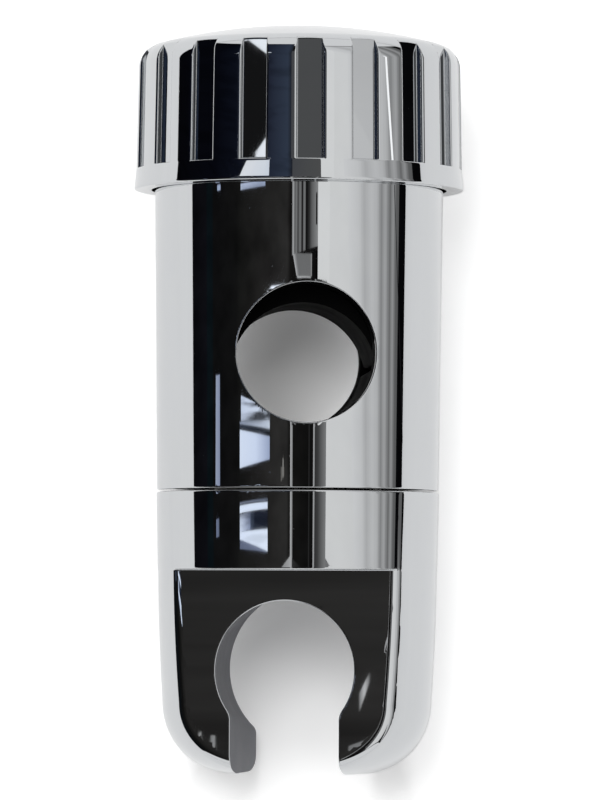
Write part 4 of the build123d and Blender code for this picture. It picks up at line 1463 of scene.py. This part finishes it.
@dataclass
class Studio:
    """Paper below, a dark room with a pale wall above, one soft lamp, and the camera over it all."""

    tilt_x: float = -3.70
    tilt_y: float = 3.87
    paper_level: float = -26.8
    paper_contact_y: float = 27.2
    paper_half: float = 4000.0
    view_roll: float = -3.70
    camera_at: tuple[float, float, float] = (-61.0, -42.0, 949.0)
    camera_aim: tuple[float, float, float] = (0.3, -6.8, 0.0)
    camera_roll: float = -0.25
    lens: float = 263.6
    sensor: float = 36.0
    nearest: float = 0.05
    farthest: float = 50.0
    lamp_at: tuple[float, float, float] = (-0.30, 0.35, 1.35)
    lamp_size: float = 0.50
    lamp_watts: float = 9.0
    room_light: float = 0.62
    cards: tuple[Card, ...] = (
        # The dark room behind the camera.
        Card(
            "dark_room",
            (
                (-98.2, "0E0E10"), (-78.0, "131318"), (-77.0, "10181C"), (-72.0, "10181C"),
                (-71.0, "151516"), (-50.0, "171717"), (-47.0, "1D1D1C"), (-28.0, "2B2A29"),
                (-9.0, "363534"), (-6.5, "1C1B1A"), (15.0, "151515"), (86.0, "0C0C0E"),
                (94.0, "08080A"),
            ),
            -620, 620, reach=560.0, clouds=0.32,
        ),
        # Light through a window on the left, as the body and the holder show it.
        Card(
            "side_glint",
            ((-68.8, "C3CEE8"), (-64.9, "A9B6D6")),
            -21, 8, reach=540.0, strength=0.9, lean=0.02,
        ),
        Card("side_glint_low", ((-68.6, "8E9AB8"), (-65.8, "6E7890")), -40, -35.5, reach=540.0),
        Card(
            "window_sky",
            ((-47.0, "D8E2F4"), (-34.0, "CFDAF0"), (-22.3, "9AA6C2")),
            -16.3, -6.9, strength=1.6, low_rise=1.3, high_rise=-2.4,
        ),
        Card(
            "window_bar",
            ((-47.0, "3A4150"), (-22.3, "20242C")),
            -6.4, -5.5, low_rise=-2.4, high_rise=-1.9, streaks=0.3,
        ),
        Card(
            "window_strip",
            ((-47.0, "98A2B8"), (-22.3, "DCE6F6")),
            -5.5, -4.9, strength=1.3, low_rise=-1.9, high_rise=-0.3, streaks=0.3,
        ),
        Card(
            "window_pane",
            ((-46.0, "C8D2E6"), (-22.0, "DCE6F6")),
            -4.7, 1.6, strength=1.55, low_rise=-0.4, high_rise=-4.6, streaks=0.9,
        ),
        Card(
            "window_low_rim",
            ((-47.0, "8C94A8"), (-23.9, "7C869C")),
            -33.6, -33.1, low_rise=-0.4, high_rise=-0.4,
        ),
        Card(
            "window_low_band",
            ((-47.0, "DCE6F6"), (-23.9, "D4DFF2")),
            -35.8, -33.9, strength=1.7, low_rise=-0.2, high_rise=-0.4,
        ),
        Card(
            "window_low_left",
            ((-47.0, "D2DCF0"), (-38.0, "7E8AA6")),
            -40.4, -36.1, strength=1.5, streaks=0.5,
        ),
        Card(
            "window_low_dark",
            ((-40.0, "6A7690"), (-34.0, "232A3A"), (-23.9, "1E2432")),
            -40.4, -36.1, low_rise=-0.6, high_rise=-0.2, streaks=0.3,
        ),
        Card(
            "window_low_slant",
            ((-47.0, "D8E2F4"), (-23.9, "DCE6F6")),
            -42.2, -40.4, reach=529.0, strength=1.65, low_rise=-4.2, high_rise=-0.5, streaks=0.15,
        ),
        Card(
            "window_low_grey",
            ((-47.0, "76809A"), (-24.6, "8E9AB8")),
            -44.6, -42.2, low_rise=-2.0, high_rise=-4.2, streaks=0.4,
        ),
        # A small window, just over the bore.
        Card(
            "small_window",
            ((-21.4, "E4EAF4"), (-10.0, "E4EAF4")),
            24.0, 27.5, strength=1.9, high_rise=0.4, lean=2.1, level_y=27.5,
        ),
        # Light through a door that stands ajar.
        Card("door_gap", ((-13.4, "7E7C78"), (-10.4, "55524E")), -20.5, -17.0, low_rise=1.4),
        Card("door_line", ((-12.0, "B0AEAA"), (-11.2, "9A9894")), -19.4, -15.0, reach=529.0),
        # The window once more, under the knob's rim.
        Card(
            "rim_window",
            ((-46.3, "C8D4EC"), (-26.2, "B4C2E0")),
            52.1, 53.6, strength=1.3, low_rise=0.2, high_rise=0.2, streaks=0.3,
        ),
        Card("rim_window_side", ((-67.0, "B4C2E0"), (-64.0, "B4C2E0")), 53.2, 54.6, strength=1.2),
        # Spots on the holder's flat and at its foot.
        Card(
            "foot",
            ((-12.6, "A0A0A0"), (-4.4, "C8C8C8")),
            -52.2, -50.6, strength=1.1, low_rise=0.4, high_rise=3.2,
        ),
        Card(
            "flat_glint",
            ((-14.52, "8A8A8A"), (-14.38, "E8E8E8"), (-14.24, "7A7A7A")),
            -65.5, -61.0, low_rise=7.5, high_rise=5.5,
        ),
        Card(
            "flat_glint_low",
            ((-14.8, "9A9A9A"), (-14.2, "B0B0B0")),
            -75.8, -74.0, strength=0.8, low_rise=1.5, high_rise=2.0, streaks=0.6,
        ),
        Card(
            "flat_glint_left",
            ((-18.95, "B0B0B0"), (-18.75, "C0C0C0")),
            -74.5, -72.0, strength=0.9, low_rise=1.2, high_rise=1.6, streaks=0.5,
        ),
        Card(
            "flat_glint_slot",
            ((-18.5, "A0A0A0"), (-18.38, "C0C0C0")),
            -78.5, -71.5, strength=0.9, low_rise=1.2, streaks=0.7,
        ),
        Card(
            "foot_shade",
            ((-4.4, "3C3C3C"), (4.0, "101010")),
            -52.0, -48.6, reach=529.0, low_rise=1.0, high_rise=-2.4,
        ),
        Card("grey_foot", ((22.0, "909090"), (28.0, "7C7C7C")), -52.0, -48.0, reach=531.0, high_rise=-3.0),
        # The dark column over the slider, with its bright edges and seams, and a cable on the right.
        Card("lens_edge_left", ((-6.0, "D8D8D8"), (-4.2, "9C9C9C")), -400, 27.5),
        Card("lens_seam", ((8.4, "3A3A3A"), (9.6, "141414")), -400, 27.5),
        Card("lens_edge_right", ((12.0, "C8C8C8"), (13.2, "B0B0B0")), -400, 27.5),
        Card(
            "grey_band",
            ((13.2, "3C3C3C"), (16.0, "4F4F4F"), (19.0, "7A7A7A"), (22.2, "989898")),
            -500, 27.5, reach=532.0,
        ),
        Card(
            "wall_cable",
            ((85.3, "242426"), (85.9, "242426")),
            -30, 58, reach=529.0, slant=-0.2, level_y=28.7,
        ),
        Card(
            "lens_lines",
            (
                (-5.2, "9A9A9A"), (-4.0, "C8C8C8"), (-3.3, "686868"), (-2.2, "8C8C8C"),
                (-1.4, "8A8A8A"), (-0.8, "3C3C3C"), (0.4, "848484"), (1.6, "888888"),
                (2.2, "101010"), (3.0, "303030"), (3.8, "8E8E8E"), (4.8, "8A8A8A"), (5.4, "141414"),
                (6.4, "1C1C1C"), (8.2, "3C3C3C"), (10.0, "747474"), (14.8, "A7A7A7"),
            ),
            35.0, 58.0, reach=531.0, low_rise=2.4,
        ),
        Card(
            "lens_end",
            ((-1.8, "E0E0E0"), (-0.8, "B0B0B0"), (0.4, "868686"), (9.0, "868686"), (10.2, "B4B4B4")),
            29.9, 35.4, lean=-0.5, level_y=30.0,
        ),
        Card(
            "lens_foot",
            ((-1.2, "DADADA"), (9.4, "C4C4C4")),
            29.4, 29.9, reach=531.0, low_rise=0.1, high_rise=0.1,
        ),
        Card("lens_shade", ((13.2, "0A0A0A"), (14.4, "0A0A0A")), 28.6, 36.3, reach=529.0),
        Card("lens_shade_top", ((13.2, "0A0A0A"), (14.2, "0A0A0A")), 42.5, 50.4, reach=529.0),
        # What the knob's lands and flutes show above all that.
        Card("knob_grey", ((-4.6, "55565A"), (6.0, "5C5D5E"), (15.0, "606060")), 58.0, 230.0, reach=531.0),
        Card(
            "knob_navy",
            (
                (-98.2, "08080C"), (-60.0, "0A0C14"), (-40.0, "141824"), (-22.0, "2A3040"),
                (-8.0, "3C4658"), (-4.6, "2A2E36"),
            ),
            58.0, 800.0, reach=532.0, streaks=0.25,
        ),
        Card("flute_night", ((-35.0, "191A1C"), (-30.4, "1C1C1C")), 70.0, 150.0, reach=531.0),
        Card(
            "flute_glint_top",
            ((-32.65, "F0F4FA"), (-31.7, "F0F4FA")),
            118.2, 126.0, strength=1.5, low_rise=-6.5,
        ),
        Card(
            "flute_glint_foot",
            ((-32.3, "F0F4FA"), (-31.9, "F0F4FA")),
            88.0, 89.6, strength=1.5, high_rise=5.4,
        ),
        Card(
            "band_window",
            ((-30.0, "F4F6FA"), (-21.0, "DCE4F0")),
            152.0, 176.0, strength=1.3, lean=1.2, level_y=166.0,
        ),
        Card(
            "wall_glint",
            ((65.7, "FFFFFF"), (67.3, "FFFFFF")),
            70.0, 118.0, reach=470.0, strength=1.6, slant=-0.2, level_y=83.0,
        ),
        # The pale wall and its curtain, on the right.
        Card(
            "pale_wall",
            ((22.0, "F8F8F7"), (34.0, "F7F7F6"), (60.0, "EDEDEC")),
            -560, 560, reach=536.0, strength=1.06,
        ),
        Card("pale_wall_top", ((14.8, "FAFAF9"), (24.0, "FAFAF9")), 29.0, 560, reach=535.0, strength=1.1),
        Card(
            "curtain_folds",
            (
                (42.0, "FAFAFA"), (50.0, "EEEEEE"), (54.0, "D4D4D4"), (60.0, "E6E6E6"),
                (65.0, "DADADA"), (68.5, "A2A2A2"), (72.0, "C8C8C8"), (76.5, "7E7E7E"),
                (79.5, "B4B4B4"), (82.5, "747474"), (85.4, "6C6C6C"),
            ),
            -560, 560, reach=534.0, lean=-0.07,
        ),
    )

    def card_material(self, card: Card) -> bpy.types.Material:
        """Light of one panel: its own colours, with slow soft changes or dark streaks across it."""
        material = bpy.data.materials.new("light_" + card.name)
        material.use_nodes = True
        tree = material.node_tree
        tree.nodes.clear()
        paint = add_node(tree, "ShaderNodeAttribute", attribute_name="paint")
        where = add_node(tree, "ShaderNodeTexCoord").outputs["Object"]
        turn, size, darkest, brightest = STREAKS if card.streaks else CLOUDS
        stretch = add_node(tree, "ShaderNodeMapping", {"Vector": where, "Rotation": turn, "Scale": size})
        streak = noise(tree, stretch.outputs["Vector"], 1 / METRE, Detail=3.0)
        dim = (1 - card.clouds - card.streaks) * card.strength
        level = ranged(tree, streak, (darkest, brightest), (dim, (1 + card.clouds) * card.strength))
        lit = {"Color": paint.outputs["Color"], "Strength": level}
        glow = add_node(tree, "ShaderNodeEmission", lit)
        add_node(tree, "ShaderNodeOutputMaterial", {"Surface": glow.outputs["Emission"]})
        return material

    def hang(self, card: Card) -> None:
        """Hang one panel, curved round the slider's axis.

        Args:
            card: the panel.
        """
        points = []
        colours = []
        for low_angle, high_angle, share, colour in card.columns():
            for angle, y in (
                (low_angle, card.low_y + card.low_rise * share),
                (high_angle, card.high_y + card.high_rise * share),
            ):
                turn = math.radians(angle + self.view_roll)
                points.append((card.reach * math.sin(turn), y, card.reach * math.cos(turn)))
                colours.append(colour)
        faces = [(2 * i, 2 * i + 1, 2 * i + 3, 2 * i + 2) for i in range(len(points) // 2 - 1)]
        mesh = bpy.data.meshes.new(card.name)
        mesh.from_pydata([[c * METRE for c in p] for p in points], [], faces)
        paint = mesh.color_attributes.new("paint", "FLOAT_COLOR", "POINT")
        paint.data.foreach_set("color", np.array(colours, dtype=np.float32).ravel())
        mesh.materials.append(self.card_material(card))
        panel = bpy.data.objects.new(card.name, mesh)
        bpy.context.scene.collection.objects.link(panel)
        panel.visible_camera = False
        panel.visible_diffuse = False
        panel.visible_shadow = False
        panel.visible_transmission = False

    def paper(self) -> None:
        """Lay the white paper on which the knob's rim and the holder's shoulder rest."""
        up = Vector((math.tan(math.radians(self.tilt_x)), math.tan(math.radians(self.tilt_y)), 1.0))
        up.normalize()
        touch = Vector((0, self.paper_contact_y, 0)) + self.paper_level * Vector((up.x, 0, up.z)).normalized()
        across = up.cross(Vector((0, 1, 0))).normalized()
        along = across.cross(up)
        corners = []
        for a, b in ((-1, -1), (1, -1), (1, 1), (-1, 1)):
            corners.append((touch + (-a * across + b * along) * self.paper_half) * METRE)
        mesh = bpy.data.meshes.new("paper")
        mesh.from_pydata(corners, [], [(0, 1, 2, 3)])
        mesh.materials.append(Paper().make())
        sheet = bpy.data.objects.new("paper", mesh)
        bpy.context.scene.collection.objects.link(sheet)

    def lamp(self) -> None:
        """Hang one soft square lamp, aimed at the slider."""
        data = bpy.data.lights.new("key_lamp", "AREA")
        data.size = self.lamp_size
        data.energy = self.lamp_watts
        light = bpy.data.objects.new("key_lamp", data)
        light.location = self.lamp_at
        light.rotation_euler = (-Vector(self.lamp_at)).to_track_quat("-Z", "Y").to_euler()
        light.visible_glossy = False
        bpy.context.scene.collection.objects.link(light)

    def surroundings(self) -> None:
        """White surroundings that light the slider evenly."""
        world = bpy.data.worlds.new("white_room")
        bpy.context.scene.world = world
        world.use_nodes = True
        tree = world.node_tree
        tree.nodes.clear()
        ray = add_node(tree, "ShaderNodeLightPath")
        seen = ray.outputs["Is Camera Ray"]
        for kind in ("Is Glossy Ray", "Is Transmission Ray"):
            seen = maths(tree, "MAXIMUM", seen, ray.outputs[kind])
        level = ranged(tree, seen, (0.0, 1.0), (self.room_light, 1.0))
        glow = add_node(tree, "ShaderNodeBackground", {"Color": WHITE, "Strength": level})
        add_node(tree, "ShaderNodeOutputWorld", {"Surface": glow.outputs["Background"]})

    def camera(self) -> None:
        """Set up the camera where the photograph was taken from."""
        data = bpy.data.cameras.new("camera")
        data.sensor_width = self.sensor
        data.lens = self.lens
        data.clip_start = self.nearest
        data.clip_end = self.farthest
        camera = bpy.data.objects.new("camera", data)
        bpy.context.scene.collection.objects.link(camera)
        at = Vector(self.camera_at) * METRE
        aim = Vector(self.camera_aim) * METRE
        back = (at - aim).normalized()
        up = Vector((math.sin(math.radians(self.camera_roll)), math.cos(math.radians(self.camera_roll)), 0))
        right = up.cross(back).normalized()
        true_up = back.cross(right)
        turn = Matrix((right, true_up, back)).transposed().to_4x4()
        camera.matrix_world = Matrix.Translation(at) @ turn
        bpy.context.scene.camera = camera

    def build(self) -> None:
        """Set up everything round the slider."""
        self.paper()
        for card in self.cards:
            self.hang(card)
        self.surroundings()
        self.lamp()
        self.camera()
        bpy.context.scene.view_settings.view_transform = "Standard"


def main() -> None:
    """Build the slider's looks and its studio."""
    logging.basicConfig(level=logging.INFO, format="%(name)s: %(message)s")
    chrome = ChromePlate().make()
    plastic = MouldedPlastic().make()
    finishes = {
        Slot.CHROME: chrome,
        Slot.BLACK_PLASTIC: plastic,
        Slot.STEEL: TurnedMetal().make(),
        Slot.BRASS: TurnedMetal("machined_brass", "C9A25E", "A98242", 0.26).make(),
        Slot.ACETAL: MouldedPlastic("natural_acetal", "D8D5CB", "E2DFD6", 0.34, 0.5).make(),
    }
    BodyShell().build(chrome)
    matt = MouldedPlastic("matt_bore_moulding", "070707", "0C0C0D", 0.5, 0.004).make()
    RailCarrier().build(matt)
    ClampShoe().build(matt)
    # The seat's walls take dull grey in place of chrome: painted shade in the recess.
    HolderShell().build(chrome, MouldedPlastic("seat_walls_painted_shade", "707176", "7C7D82", 0.42, 0.03).make())
    KnobShell().build(chrome)
    InnerParts().dress(finishes)
    Studio().build()


if __name__ == "__main__":
    main()
